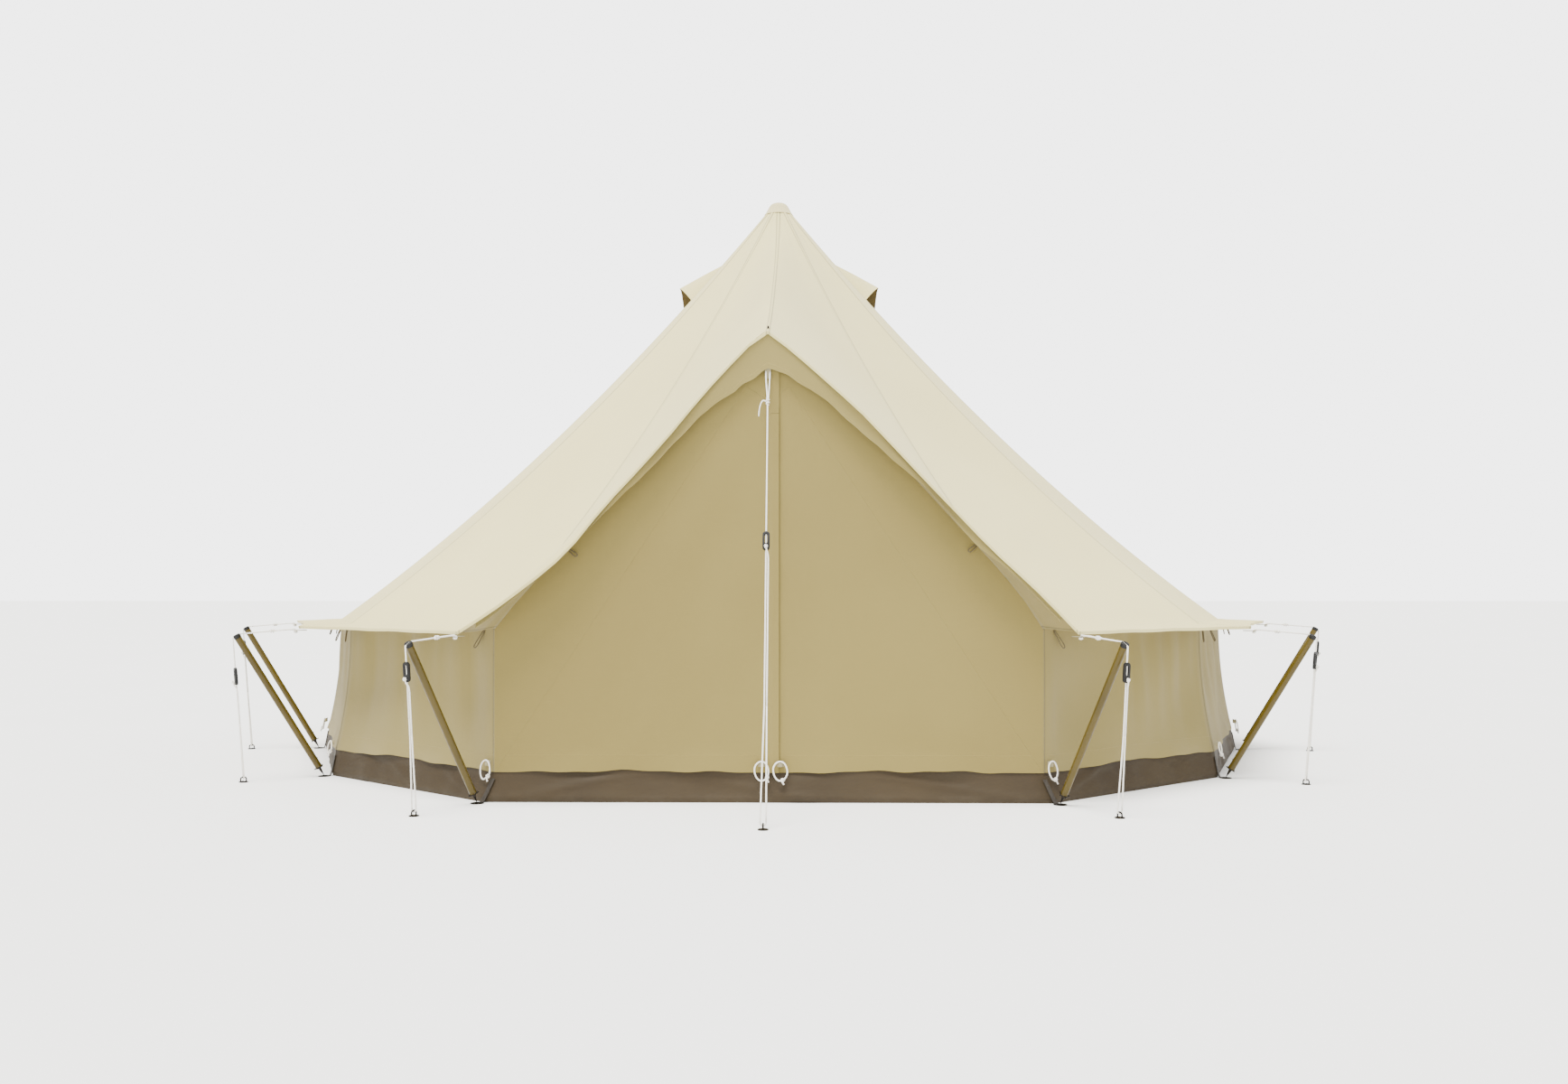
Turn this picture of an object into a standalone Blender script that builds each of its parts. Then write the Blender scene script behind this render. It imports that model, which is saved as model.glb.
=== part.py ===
"""Bell tent on a deck kit: conical canvas roof, low walls, A-frame doorway and leaning guy poles.

Metres, +Z up. The origin is on the ground under the centre pole, and the door faces -Y.
Corner number i stands at the angle i * PANEL_ANGLE, counted from -Y towards +X.
"""

import math

import bmesh
import bpy
from mathutils import Matrix, Vector

# Plan of the tent
PANELS = 13
PANEL_ANGLE = 2 * math.pi / PANELS
GROUND_RADIUS = 2.50
CLEARANCE = 0.0003
CANVAS = 0.002

# Roof
CROWN_RADIUS = 0.045
CROWN_HEIGHT = 3.03
WALL_TOP_RADIUS = 2.41
WALL_LINE_HEIGHT = 0.708
EAVE_RADIUS = 2.647
EAVE_HEIGHT = 0.700
ROOF_SAG = 0.143
EAVE_DRAW = 0.03
PANEL_SINK = 0.02
EAVE_HEM = 0.02
ROOF_COLUMNS = 4
ROOF_STATIONS = (0.0, 0.1, 0.26, 0.48, 0.73, 1.0)
HEM_SEAM = 0.94

# Door hood
HOOD_CREST = 1.893
HOOD_HEIGHT = 1.885
HOOD_CURVE = 0.75
HOOD_SEAM = 0.68
VALANCE_DROPS = ((0.0, 0.130), (0.06, 0.105), (0.15, 0.080), (0.5, 0.075), (0.95, 0.035))
VALANCE_STATIONS = (0.0, 0.03, 0.06, 0.1, 0.15, 0.25, 0.375, 0.5, 0.625, 0.75, 0.85, 0.95)
VALANCE_SEAT = 0.0049

# Walls and doorway
WALL_HEM_RADIUS = 2.48
WALL_HEM_HEIGHT = 0.12
WALL_COLUMNS = 12
WALL_FOLDS = 3
WALL_LEVELS = (0.52, 0.32)
FOLD_DEPTH = 0.012
DOOR_PLANE = 2.185
HOOD_OVERHANG = 0.030
HOOD_REACH = DOOR_PLANE + HOOD_OVERHANG
DOOR_HALF_WIDTH = 1.116
DOOR_PEAK = 1.83
LEAF_TOP = 1.693
LEAF_GAP = 0.002
LEAF_ROWS = 7
LEAF_COLUMNS = 6
LEAF_FOLD_DEPTH = 0.006
SPLIT_X = 0.045
ARCH_COLUMNS = 8
ARCH_SEAT = 0.0034

# Door fastening
ZIP_WIDTH = 0.010
ZIP_THICKNESS = 0.004
FLAP_WIDTH = 0.053
FLAP_STANDOFF = 0.0085
FLAP_THICKNESS = 0.002
FLAP_TOP_GAP = 0.02
FLAP_STEPS = (0.012, 0.024)
PULL_WIDTH = 0.0086
PULL_DEPTH = 0.0018
PULL_HEIGHT = 0.016
PULL_TAB = (0.008, 0.0018, 0.034)
PULL_TAB_TOP = 0.011
PULL_BITE = 0.0004
PULL_REST = 0.03

# Groundsheet
SHEET_THICKNESS = 0.002
UPSTAND_HEIGHT = 0.15
UPSTAND_BEND = 0.112
UPSTAND_LEAN = 0.006

# Apex cap and vents
CAP_TOP_HEIGHT = 3.06
CAP_RIM_RADIUS = 0.076
CAP_TOP_RADIUS = 0.050
CAP_THICKNESS = 0.003
CAP_DOME = 0.004
CAP_SHOULDER_DROP = 0.012
CAP_SHOULDER_WIDTH = 0.010
CAP_RIM_HEIGHT = 3.0055
VENT_PANELS = ((3, "right"), (6, "rear"), (9, "left"))
VENT_START = 0.30
VENT_REACH = 0.55
VENT_HALF_WIDTH = 0.105
VENT_RISE = 0.19
VENT_HOLE = (0.36, 0.50, 0.05)
VENT_STATIONS = 7
VENT_ROWS = (0.12, 0.5, 1.0)
VENT_CORNER_SETBACK = 0.035
VENT_LIFT = 0.0009

# Centre pole and A-frame
CENTRE_POLE_RADIUS = 0.016
CENTRE_POLE_JOINT = 1.50
POLE_WALL = 0.0015
SPIGOT_LENGTH = 0.10
CROWN_PLATE_RADIUS = 0.050
CROWN_PLATE_HEIGHT = 3.0180
CROWN_PLATE_THICKNESS = 0.004
FRAME_TUBE_RADIUS = 0.0125
FRAME_SIDES = 10
FRAME_FOOT_X = 1.03
FRAME_FOOT_Y = 2.13
FRAME_TOP_Y = 2.168
FRAME_TOP_X = 0.070
FRAME_TOP_Z = 1.755
ELBOW_PEAK_Z = 1.883
ELBOW_SPIGOT = 0.05
ELBOW_NECK = 0.012
LEG_LIFT = 0.022
SHOE_RADIUS = 0.0145
SHOE_LENGTH = 0.036
SHOE_PLUG = 0.030
SPIKE_RADIUS = 0.004
SPIKE_HOLE_ROOM = 0.003
SPIKE_TOP_Z = 1.945
FOOT_PAD_RADIUS = 0.030
FOOT_PAD_HEIGHT = 0.014

# Side poles
POLE_FOOT_GAP = 0.03
POLE_FOOT_RADIUS = GROUND_RADIUS + POLE_FOOT_GAP
POLE_TIP_REACH = 0.2738045
POLE_TIP_DROP = 0.0332455
POLE_RADIUS = 0.0150
POLE_SIDES = 8
SPIKE_LENGTH = 0.045
COLLAR_THICKNESS = 0.005
COLLAR_RADIUS = 0.024
COLLAR_POINTS = 5
COLLAR_VALLEY = 0.66
CAP_HEAD_LENGTH = 0.030
CAP_CROWN = 0.004
CAP_CHAMFER = 0.005
CAP_LIP = 0.001
GROOVE_ROOM = 0.0008
GROOVE_DEPTH = 0.013
SPIKE_NECK_RADIUS = 0.006
SPIKE_SHOULDER = 0.004
CAVITY_FLOOR = 0.058
BUTTON_HOLE_HEIGHT = 0.090
BUTTON_HOLE_RADIUS = 0.003
FOOT_PLATE_RADIUS = 0.0275
FOOT_PLATE_THICKNESS = 0.003
POLE_TIP_OUT = EAVE_RADIUS + POLE_TIP_REACH - POLE_FOOT_RADIUS
POLE_TIP_UP = EAVE_HEIGHT - POLE_TIP_DROP - FOOT_PLATE_THICKNESS - CLEARANCE
POLE_LEAN = math.atan2(POLE_TIP_OUT, POLE_TIP_UP)
POLE_LENGTH = math.hypot(POLE_TIP_OUT, POLE_TIP_UP)
FOOT_BOSS_RADIUS = 0.012
FOOT_BOSS_WALL = 0.003
FOOT_BOSS_HEIGHT = 0.005

# Guy lines
ROPE_RADIUS = 0.003
ROPE_SIDES = 5
ANCHOR_REACH = 0.240
ANCHOR_RADIUS = EAVE_RADIUS + ANCHOR_REACH
DOOR_ANCHOR_REACH = 0.621
DOOR_ANCHOR_RADIUS = HOOD_REACH + DOOR_ANCHOR_REACH
ANCHOR_PLATE_RADIUS = 0.020
ANCHOR_PLATE_THICKNESS = 0.003
EYE_BAR_RADIUS = 0.003
EYE_HEIGHT = 0.022
EYE_HALF_SPAN = 0.012
EYE_BITE = 0.0006
LOOP_RADIUS = 0.011
STRAND_GAP = 0.009
KNOT_LENGTH = 0.012
ROPE_RUN = ((-0.0095, -0.0175), (-0.0088, 0.0140), (-0.0100, 0.0190), (-0.0125, 0.0203))
DOOR_GUY_HEIGHT = 1.765
DOOR_GUY_INSET = 0.021
DOOR_GUY_Y = HOOD_REACH - DOOR_GUY_INSET

# Rope tensioners
SLIDER_LENGTH = 0.078
SLIDER_WIDTH = 0.028
SLIDER_THICKNESS = 0.011
SLIDER_BORE_RADIUS = 0.0041
SLIDER_WINDOW = (0.036, 0.013)
SLIDER_DROP = 0.055
LOW_SLIDER_DROP = 0.130
LOW_SLIDER_GUYS = (-2,)
DOOR_SLIDER_DROP = 0.720

# Webbing
TAB_WIDTH = 0.024
TAB_THICKNESS = 0.003
TAB_LENGTH = 0.060
TAB_OVERHANG = 0.022
TAB_HOLE_INSET = 0.010
TAB_HOLE_RADIUS = 0.0045
TAB_OVERLAP = 0.001
DOOR_TAB_DROP = 0.015
STRAP_WIDTH = 0.020
STRAP_THICKNESS = 0.002
STRAP_TOP_HEIGHT = 0.095
STRAP_KNEE_HEIGHT = 0.030
STRAP_END_LIFT = 0.0008

SIDE_GUYS = [i for i in range(-6, 7) if i != 0]
GUYS = [0, *SIDE_GUYS]

# Finishes: colour, roughness and metallic value
ROOF_CLOTH = ((0.80, 0.76, 0.62), 0.9, 0.0)
WALL_CLOTH = ((0.60, 0.54, 0.40), 0.92, 0.0)
SHEET_CLOTH = ((0.20, 0.15, 0.10), 0.6, 0.0)
CAP_CLOTH = ((0.78, 0.74, 0.62), 0.7, 0.0)
ZIP_TAPE = ((0.09, 0.08, 0.06), 0.5, 0.0)
CAST_METAL = ((0.55, 0.52, 0.46), 0.35, 0.9)
OLIVE_LACQUER = ((0.25, 0.21, 0.06), 0.45, 0.3)
BLACK_METAL = ((0.05, 0.05, 0.05), 0.5, 0.6)
BLACK_RUBBER = ((0.03, 0.03, 0.03), 0.8, 0.0)
BLACK_PLASTIC = ((0.02, 0.02, 0.02), 0.4, 0.0)
ROPE = ((0.80, 0.78, 0.70), 0.85, 0.0)


def clear_scene():
    """Remove whatever the file holds."""
    for item in list(bpy.data.objects):
        bpy.data.objects.remove(item, do_unlink=True)


def finish(name, look):
    """A plain Principled finish."""
    colour, roughness, metallic = look
    material = bpy.data.materials.new(name)
    material.use_nodes = True
    shader = material.node_tree.nodes["Principled BSDF"]
    shader.inputs["Base Color"].default_value = (*colour, 1.0)
    shader.inputs["Roughness"].default_value = roughness
    shader.inputs["Metallic"].default_value = metallic
    return material


def solid(name, mesh_data, look, matrix=None, parent=None, smooth=False):
    """Turn a bmesh or a mesh into a named object with its own finish."""
    if isinstance(mesh_data, bmesh.types.BMesh):
        mesh = bpy.data.meshes.new(name)
        mesh_data.to_mesh(mesh)
        mesh_data.free()
    else:
        mesh = mesh_data.copy()
    mesh.materials.clear()
    mesh.materials.append(finish(name, look))
    if smooth:
        mesh.shade_smooth()
        mesh.set_sharp_from_angle(angle=math.radians(35))
    item = bpy.data.objects.new(name, mesh)
    bpy.context.collection.objects.link(item)
    if parent is not None:
        item.parent = parent
    if matrix is not None:
        item.matrix_local = matrix
    return item


def empty(name, matrix):
    """An empty whose place is a joint's place."""
    item = bpy.data.objects.new(name, None)
    bpy.context.collection.objects.link(item)
    item.matrix_local = matrix
    return item


def cutter(name, mesh_data, matrix=None):
    """A hidden body that only cuts or joins."""
    mesh = bpy.data.meshes.new(name)
    mesh_data.to_mesh(mesh)
    mesh_data.free()
    item = bpy.data.objects.new(name, mesh)
    item.hide_render = True
    item.display_type = "WIRE"
    bpy.context.collection.objects.link(item)
    if matrix is not None:
        item.matrix_local = matrix
    return item


def boolean(item, tool, operation):
    """Cut or join one body with another."""
    modifier = item.modifiers.new(tool.name, "BOOLEAN")
    modifier.operation = operation
    modifier.solver = "EXACT"
    modifier.object = tool


def shared_boolean(item, tool, operation, parent, matrix=None):
    """Cut or join a copied piece with its own copy of a shared body, which follows a parent."""
    copy = bpy.data.objects.new(f"{tool.name}_{item.name}", tool.data)
    copy.hide_render = True
    copy.display_type = "WIRE"
    copy.parent = parent
    if matrix is not None:
        copy.matrix_local = matrix
    bpy.context.collection.objects.link(copy)
    boolean(item, copy, operation)


def lerp(a, b, t):
    """The value at share t of the way from a to b."""
    return a + (b - a) * t


def interpolate(table, t):
    """Straight interpolation in a short table of (position, value) pairs."""
    for (t0, v0), (t1, v1) in zip(table, table[1:]):
        if t <= t1:
            return lerp(v0, v1, max(0.0, (t - t0) / (t1 - t0)))
    return table[-1][1]


def corner(i, radius, height):
    """Point at corner i, which may be a fraction between two corners."""
    angle = i * PANEL_ANGLE
    return Vector((radius * math.sin(angle), -radius * math.cos(angle), height))


def guy_frame(i):
    """Local frame at corner i: x outwards, y along the eave, z up."""
    return Matrix.Rotation(i * PANEL_ANGLE - math.pi / 2, 4, "Z")


def cloth(rows, closed):
    """Quad sheet through rows of points. Rows run from the top down, columns to the right."""
    bm = bmesh.new()
    grid = [[bm.verts.new(p) for p in row] for row in rows]
    columns = len(rows[0])
    for upper, lower in zip(grid, grid[1:]):
        for k in range(columns if closed else columns - 1):
            n = (k + 1) % columns
            bm.faces.new((upper[k], lower[k], lower[n], upper[n]))
    return bm


def thicken(item, thickness):
    """Give a sheet its thickness on the inner side."""
    modifier = item.modifiers.new("thickness", "SOLIDIFY")
    modifier.thickness = thickness
    modifier.offset = -1.0
    modifier.use_even_offset = True


def rings_to_tube(bm, rings, closed=False):
    """Skin a list of vertex rings, and cap both ends unless the tube closes on itself."""
    sides = len(rings[0])
    pairs = list(zip(rings, rings[1:]))
    if closed:
        pairs.append((rings[-1], rings[0]))
    for a, b in pairs:
        for k in range(sides):
            n = (k + 1) % sides
            bm.faces.new((a[k], a[n], b[n], b[k]))
    if not closed:
        bm.faces.new(list(reversed(rings[0])))
        bm.faces.new(rings[-1])


def tube(bm, points, radii, sides, across):
    """Solid tube along points, whose section starts at the direction across."""
    rings = []
    for k, point in enumerate(points):
        before = points[max(k - 1, 0)]
        after = points[min(k + 1, len(points) - 1)]
        ahead = (after - before).normalized()
        side = (across - across.dot(ahead) * ahead).normalized()
        up = ahead.cross(side)
        radius = radii[k] if isinstance(radii, (list, tuple)) else radii
        ring = []
        for j in range(sides):
            turn = 2 * math.pi * (j + 0.5) / sides
            ring.append(bm.verts.new(point + radius * (math.cos(turn) * side + math.sin(turn) * up)))
        rings.append(ring)
    rings_to_tube(bm, rings)


def turned(profile, sides, bm=None):
    """Body turned about z from a profile of (radius, height), from the top down its outside.

    A profile that starts and ends on the axis gives a solid piece, and one that stays off it gives
    a ring whose first and last points are joined.
    """
    bm = bm or bmesh.new()
    rings = []
    for radius, height in profile:
        if radius == 0.0:
            rings.append([bm.verts.new((0, 0, height))])
            continue
        ring = []
        for k in range(sides):
            turn = 2 * math.pi * (k + 0.5) / sides
            ring.append(bm.verts.new((radius * math.cos(turn), radius * math.sin(turn), height)))
        rings.append(ring)
    pairs = list(zip(rings, rings[1:]))
    if len(rings[0]) > 1:
        pairs.append((rings[-1], rings[0]))
    for a, b in pairs:
        for k in range(sides):
            n = (k + 1) % sides
            if len(a) == 1:
                bm.faces.new((a[0], b[k], b[n]))
            elif len(b) == 1:
                bm.faces.new((a[k], b[0], a[n]))
            else:
                bm.faces.new((a[k], b[k], b[n], a[n]))
    return bm


def box(bm, low, high):
    """Axis-aligned block."""
    made = bmesh.ops.create_cube(bm, size=1.0)["verts"]
    low, high = Vector(low), Vector(high)
    for vert in made:
        vert.co = Vector(lerp(low[k], high[k], vert.co[k] + 0.5) for k in range(3))


def add_moved(bm, other, matrix):
    """Move a bmesh's body into another."""
    mesh = bpy.data.meshes.new("part")
    other.transform(matrix)
    other.to_mesh(mesh)
    other.free()
    bm.from_mesh(mesh)
    bpy.data.meshes.remove(mesh)


def prism(outline, low, high):
    """Upright plate: an outline of (x, y) points, extruded from low to high along z."""
    bm = bmesh.new()
    lower = [bm.verts.new((x, y, low)) for x, y in outline]
    upper = [bm.verts.new((x, y, high)) for x, y in outline]
    bm.faces.new(list(reversed(lower)))
    bm.faces.new(upper)
    for k in range(len(outline)):
        n = (k + 1) % len(outline)
        bm.faces.new((lower[k], lower[n], upper[n], upper[k]))
    return bm


def stadium(length, width, arc):
    """Outline with round ends, length along y and width along x."""
    radius = width / 2
    straight = length / 2 - radius
    points = []
    for k in range(arc + 1):
        turn = math.pi * k / arc
        points.append((radius * math.cos(turn), straight + radius * math.sin(turn)))
    for k in range(arc + 1):
        turn = math.pi + math.pi * k / arc
        points.append((radius * math.cos(turn), -straight + radius * math.sin(turn)))
    return points


# Roof
def wall_line_corner(i):
    """Where the seam of corner i crosses the line of the walls."""
    place = i % PANELS
    if place == 0:
        return Vector((0, -DOOR_PLANE, HOOD_CREST))
    if place in (1, PANELS - 1):
        side = 1 if place == 1 else -1
        return Vector((side * DOOR_HALF_WIDTH, -DOOR_PLANE, WALL_LINE_HEIGHT))
    return corner(place, WALL_TOP_RADIUS, WALL_LINE_HEIGHT)


def eave_corner(i):
    """Outer end of the seam of corner i."""
    if i % PANELS == 0:
        return Vector((0, -HOOD_REACH, HOOD_HEIGHT))
    return corner(i, EAVE_RADIUS, EAVE_HEIGHT)


def seam_point(i, t):
    """Point on the seam of corner i, from the crown ring at t=0 to the wall line at t=1."""
    foot = wall_line_corner(i)
    reach = math.hypot(foot.x, foot.y)
    share = lerp(CROWN_RADIUS, reach, t) / reach
    if i % PANELS == 0:
        height = lerp(CROWN_HEIGHT, foot.z, t ** HOOD_CURVE)
    else:
        height = lerp(CROWN_HEIGHT, foot.z, t) - 4 * ROOF_SAG * t * (1 - t)
    return Vector((foot.x * share, foot.y * share, height))


def roof_point(i, s, t):
    """Point on panel i, which lies between corners i and i + 1, inside the wall line."""
    point = seam_point(i, t).lerp(seam_point(i + 1, t), s)
    point.z -= 4 * s * (1 - s) * PANEL_SINK * math.sin(math.pi * t)
    return point


def flap_point(i, s, share):
    """Point on the overhang of panel i, from the wall line at share 0 to the eave at share 1."""
    outer = eave_corner(i).lerp(eave_corner(i + 1), s)
    if i % PANELS not in (0, PANELS - 1):
        outer -= 4 * s * (1 - s) * EAVE_DRAW * Vector((outer.x, outer.y, 0)).normalized()
    return roof_point(i, s, 1.0).lerp(outer, share)


def seam_share(i, s):
    """Where the hem's stitched line lies on the overhang, nearer the walls at the hood's tip."""
    place = i % PANELS
    if place == 0:
        return lerp(HOOD_SEAM, HEM_SEAM, s)
    if place == PANELS - 1:
        return lerp(HEM_SEAM, HOOD_SEAM, s)
    return HEM_SEAM


def roof_height(panel, x, y=0.0):
    """Height of the roof's facets at (x, y) in the frame of a panel's middle, away from the door."""
    radius = x / math.cos(PANEL_ANGLE / 2)
    t = (radius - CROWN_RADIUS) / (WALL_TOP_RADIUS - CROWN_RADIUS)
    s = 0.5 + y / (2 * radius * math.sin(PANEL_ANGLE / 2))
    for t0, t1 in zip(ROOF_STATIONS, ROOF_STATIONS[1:]):
        if t <= t1:
            break
    near = min(math.floor(s * ROOF_COLUMNS), ROOF_COLUMNS - 1) / ROOF_COLUMNS
    far = near + 1 / ROOF_COLUMNS
    across = (s - near) * ROOF_COLUMNS
    upper = roof_point(panel, near, t0).lerp(roof_point(panel, far, t0), across)
    lower = roof_point(panel, near, t1).lerp(roof_point(panel, far, t1), across)
    return lerp(upper.z, lower.z, (t - t0) / (t1 - t0))


def make_roof():
    """Conical roof with sagging seams, a raised hood over the door, a hem and its sewn rope tabs."""
    places = [(i, k / ROOF_COLUMNS) for i in range(PANELS) for k in range(ROOF_COLUMNS)]
    rows = [[roof_point(i, s, t) for i, s in places] for t in ROOF_STATIONS]
    rows.append([flap_point(i, s, seam_share(i, s)) for i, s in places])
    rows.append([flap_point(i, s, 1.0) for i, s in places])
    rows.append([point - Vector((0, 0, EAVE_HEM)) for point in rows[-1]])
    roof = solid("roof_canvas", cloth(rows, True), ROOF_CLOTH)
    thicken(roof, CANVAS)
    boolean(roof, cutter("rope_tabs", rope_tabs()), "UNION")
    boolean(roof, cutter("tab_holes", tab_holes()), "DIFFERENCE")
    room = SPIKE_RADIUS + SPIKE_HOLE_ROOM
    reach = SPIKE_TOP_Z - HOOD_CREST
    hole = turned([(0, reach), (room, reach), (room, -reach), (0, -reach)], 8)
    place = Matrix.Translation((0, -FRAME_TOP_Y, HOOD_CREST))
    boolean(roof, cutter("spike_hole", hole, place), "DIFFERENCE")
    inner, outer, half = VENT_HOLE
    for panel, name in VENT_PANELS:
        block = bmesh.new()
        high = roof_height(panel, inner) + outer
        low = roof_height(panel, outer) - outer
        box(block, (inner, -half, low), (outer, half, high))
        boolean(roof, cutter(f"vent_hole_{name}", block, guy_frame(panel + 0.5)), "DIFFERENCE")


def rope_tabs():
    """Webbing tabs under the eave's corners, and one that hangs behind the hood's tip."""
    bm = bmesh.new()
    outline = [(y, x) for x, y in reversed(stadium(TAB_LENGTH, TAB_WIDTH, 4))]
    middle = EAVE_RADIUS + TAB_OVERHANG - TAB_LENGTH / 2
    for i in SIDE_GUYS:
        low = tab_hole(i)[1] - TAB_THICKNESS / 2
        place = guy_frame(i) @ Matrix.Translation((middle, 0, 0))
        add_moved(bm, prism(outline, low, low + TAB_THICKNESS), place)
    front = DOOR_GUY_Y - ROPE_RADIUS - CLEARANCE
    half = TAB_WIDTH / 2
    slope = (HOOD_CREST - WALL_LINE_HEIGHT) / DOOR_HALF_WIDTH
    crest = HOOD_CREST - VALANCE_SEAT / 2
    low = DOOR_GUY_HEIGHT - DOOR_TAB_DROP
    outline = [(-half, low), (half, low), (half, crest - slope * half), (0, crest),
               (-half, crest - slope * half)]
    add_moved(bm, prism(outline, front - TAB_THICKNESS, front), Matrix.Rotation(math.pi / 2, 4, "X"))
    return bm


def tab_holes():
    """Cutters for the rope holes in the eave tabs."""
    bm = bmesh.new()
    reach = 2 * TAB_THICKNESS
    for i in SIDE_GUYS:
        radius, height = tab_hole(i)
        hole = turned([(0, reach), (TAB_HOLE_RADIUS, reach), (TAB_HOLE_RADIUS, -reach), (0, -reach)], 6)
        add_moved(bm, hole, guy_frame(i) @ Matrix.Translation((radius, 0, height)))
    return bm


# Walls and doorway
def wall_corner(i, share):
    """Wall seam at corner i, from the roof at share 0 to the hem at share 1."""
    top = wall_line_corner(i)
    if i in (1, PANELS - 1):
        return Vector((top.x, top.y, lerp(top.z - ARCH_SEAT, WALL_HEM_HEIGHT, share)))
    height = lerp(top.z - CANVAS - CLEARANCE, WALL_HEM_HEIGHT, share)
    return corner(i, lerp(WALL_TOP_RADIUS, WALL_HEM_RADIUS, share), height)


def wall_column(i, s):
    """One column of wall points, from the top down, at share s of panel i."""
    shares = [0.0, *[(WALL_LINE_HEIGHT - z) / (WALL_LINE_HEIGHT - WALL_HEM_HEIGHT) for z in WALL_LEVELS], 1.0]
    column = []
    for share in shares:
        point = wall_corner(i, share).lerp(wall_corner(i + 1, share), s)
        outwards = Vector((point.x, point.y, 0)).normalized()
        fold = FOLD_DEPTH * math.sin(2 * WALL_FOLDS * math.pi * s) * math.sin(math.pi * share)
        column.append(point + fold * outwards)
    return column


def arch_edge(x):
    """Lower edge of the fixed canvas over the doorway, at the distance x from its middle."""
    slope = (DOOR_PEAK - WALL_HEM_HEIGHT) / DOOR_HALF_WIDTH
    return DOOR_PEAK - slope * abs(x)


def leaf_foot_x():
    """Where a leaf's top edge meets its hinge line."""
    return DOOR_HALF_WIDTH * (DOOR_PEAK - LEAF_TOP) / (DOOR_PEAK - WALL_HEM_HEIGHT)


def leaf_top(side, x):
    """Height of a leaf's top edge, which runs square to its hinge line."""
    slope = DOOR_HALF_WIDTH / (DOOR_PEAK - WALL_HEM_HEIGHT)
    return LEAF_TOP - slope * (leaf_foot_x() - side * x)


def arch_column(x, lower):
    """One column of the fixed canvas in the door's plane, from the roof down."""
    top = lerp(HOOD_CREST, WALL_LINE_HEIGHT, abs(x) / DOOR_HALF_WIDTH) - ARCH_SEAT
    count = len(WALL_LEVELS) + 1
    return [Vector((x, -DOOR_PLANE, lerp(top, lower, k / count))) for k in range(count + 1)]


def make_walls():
    """Wall ring with hanging folds, closed over the doorway by the canvas that carries the hood."""
    columns = []
    for i in range(1, PANELS - 1):
        columns += [wall_column(i, k / WALL_COLUMNS) for k in range(WALL_COLUMNS)]
    columns.append(wall_column(PANELS - 2, 1.0))
    foot = leaf_foot_x()
    steps = [lerp(DOOR_HALF_WIDTH, foot, k / ARCH_COLUMNS) for k in range(1, ARCH_COLUMNS + 1)]
    columns += [arch_column(-x, arch_edge(x)) for x in steps]
    for side in (-1, 1):
        columns.append(arch_column(SPLIT_X + side * LEAF_GAP / 4, leaf_top(side, SPLIT_X) + LEAF_GAP))
    columns += [arch_column(x, arch_edge(x)) for x in reversed(steps)]
    rows = [list(row) for row in zip(*columns)]
    walls = solid("wall_canvas", cloth(rows, True), WALL_CLOTH)
    thicken(walls, CANVAS)


def make_leaf(side, name):
    """One door leaf: the triangle between its slanting hinge line, the zip and the sill."""
    hinge = Vector((side * DOOR_HALF_WIDTH, -DOOR_PLANE, WALL_HEM_HEIGHT))
    meeting = SPLIT_X - ZIP_WIDTH - 2 * CLEARANCE if side < 0 else SPLIT_X + LEAF_GAP / 2
    inner_top = leaf_top(side, meeting) - LEAF_GAP
    slope = (DOOR_PEAK - WALL_HEM_HEIGHT) / DOOR_HALF_WIDTH
    rows = []
    for k in range(LEAF_ROWS):
        share = k / (LEAF_ROWS - 1)
        outer_z = lerp(LEAF_TOP - LEAF_GAP, WALL_HEM_HEIGHT, share)
        outer_x = side * ((DOOR_PEAK - outer_z) / slope - LEAF_GAP)
        inner_z = lerp(inner_top, WALL_HEM_HEIGHT, share)
        row = []
        for j in range(LEAF_COLUMNS + 1):
            across = j / LEAF_COLUMNS
            fold = LEAF_FOLD_DEPTH * math.sin(2 * math.pi * across) * math.sin(math.pi * share) * across
            row.append(Vector((lerp(outer_x, meeting, across), -DOOR_PLANE + abs(fold),
                               lerp(outer_z, inner_z, across))) - hinge)
        rows.append(row if side < 0 else list(reversed(row)))
    leaf = solid(name, cloth(rows, False), WALL_CLOTH, matrix=Matrix.Translation(hinge))
    thicken(leaf, CANVAS)


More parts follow.
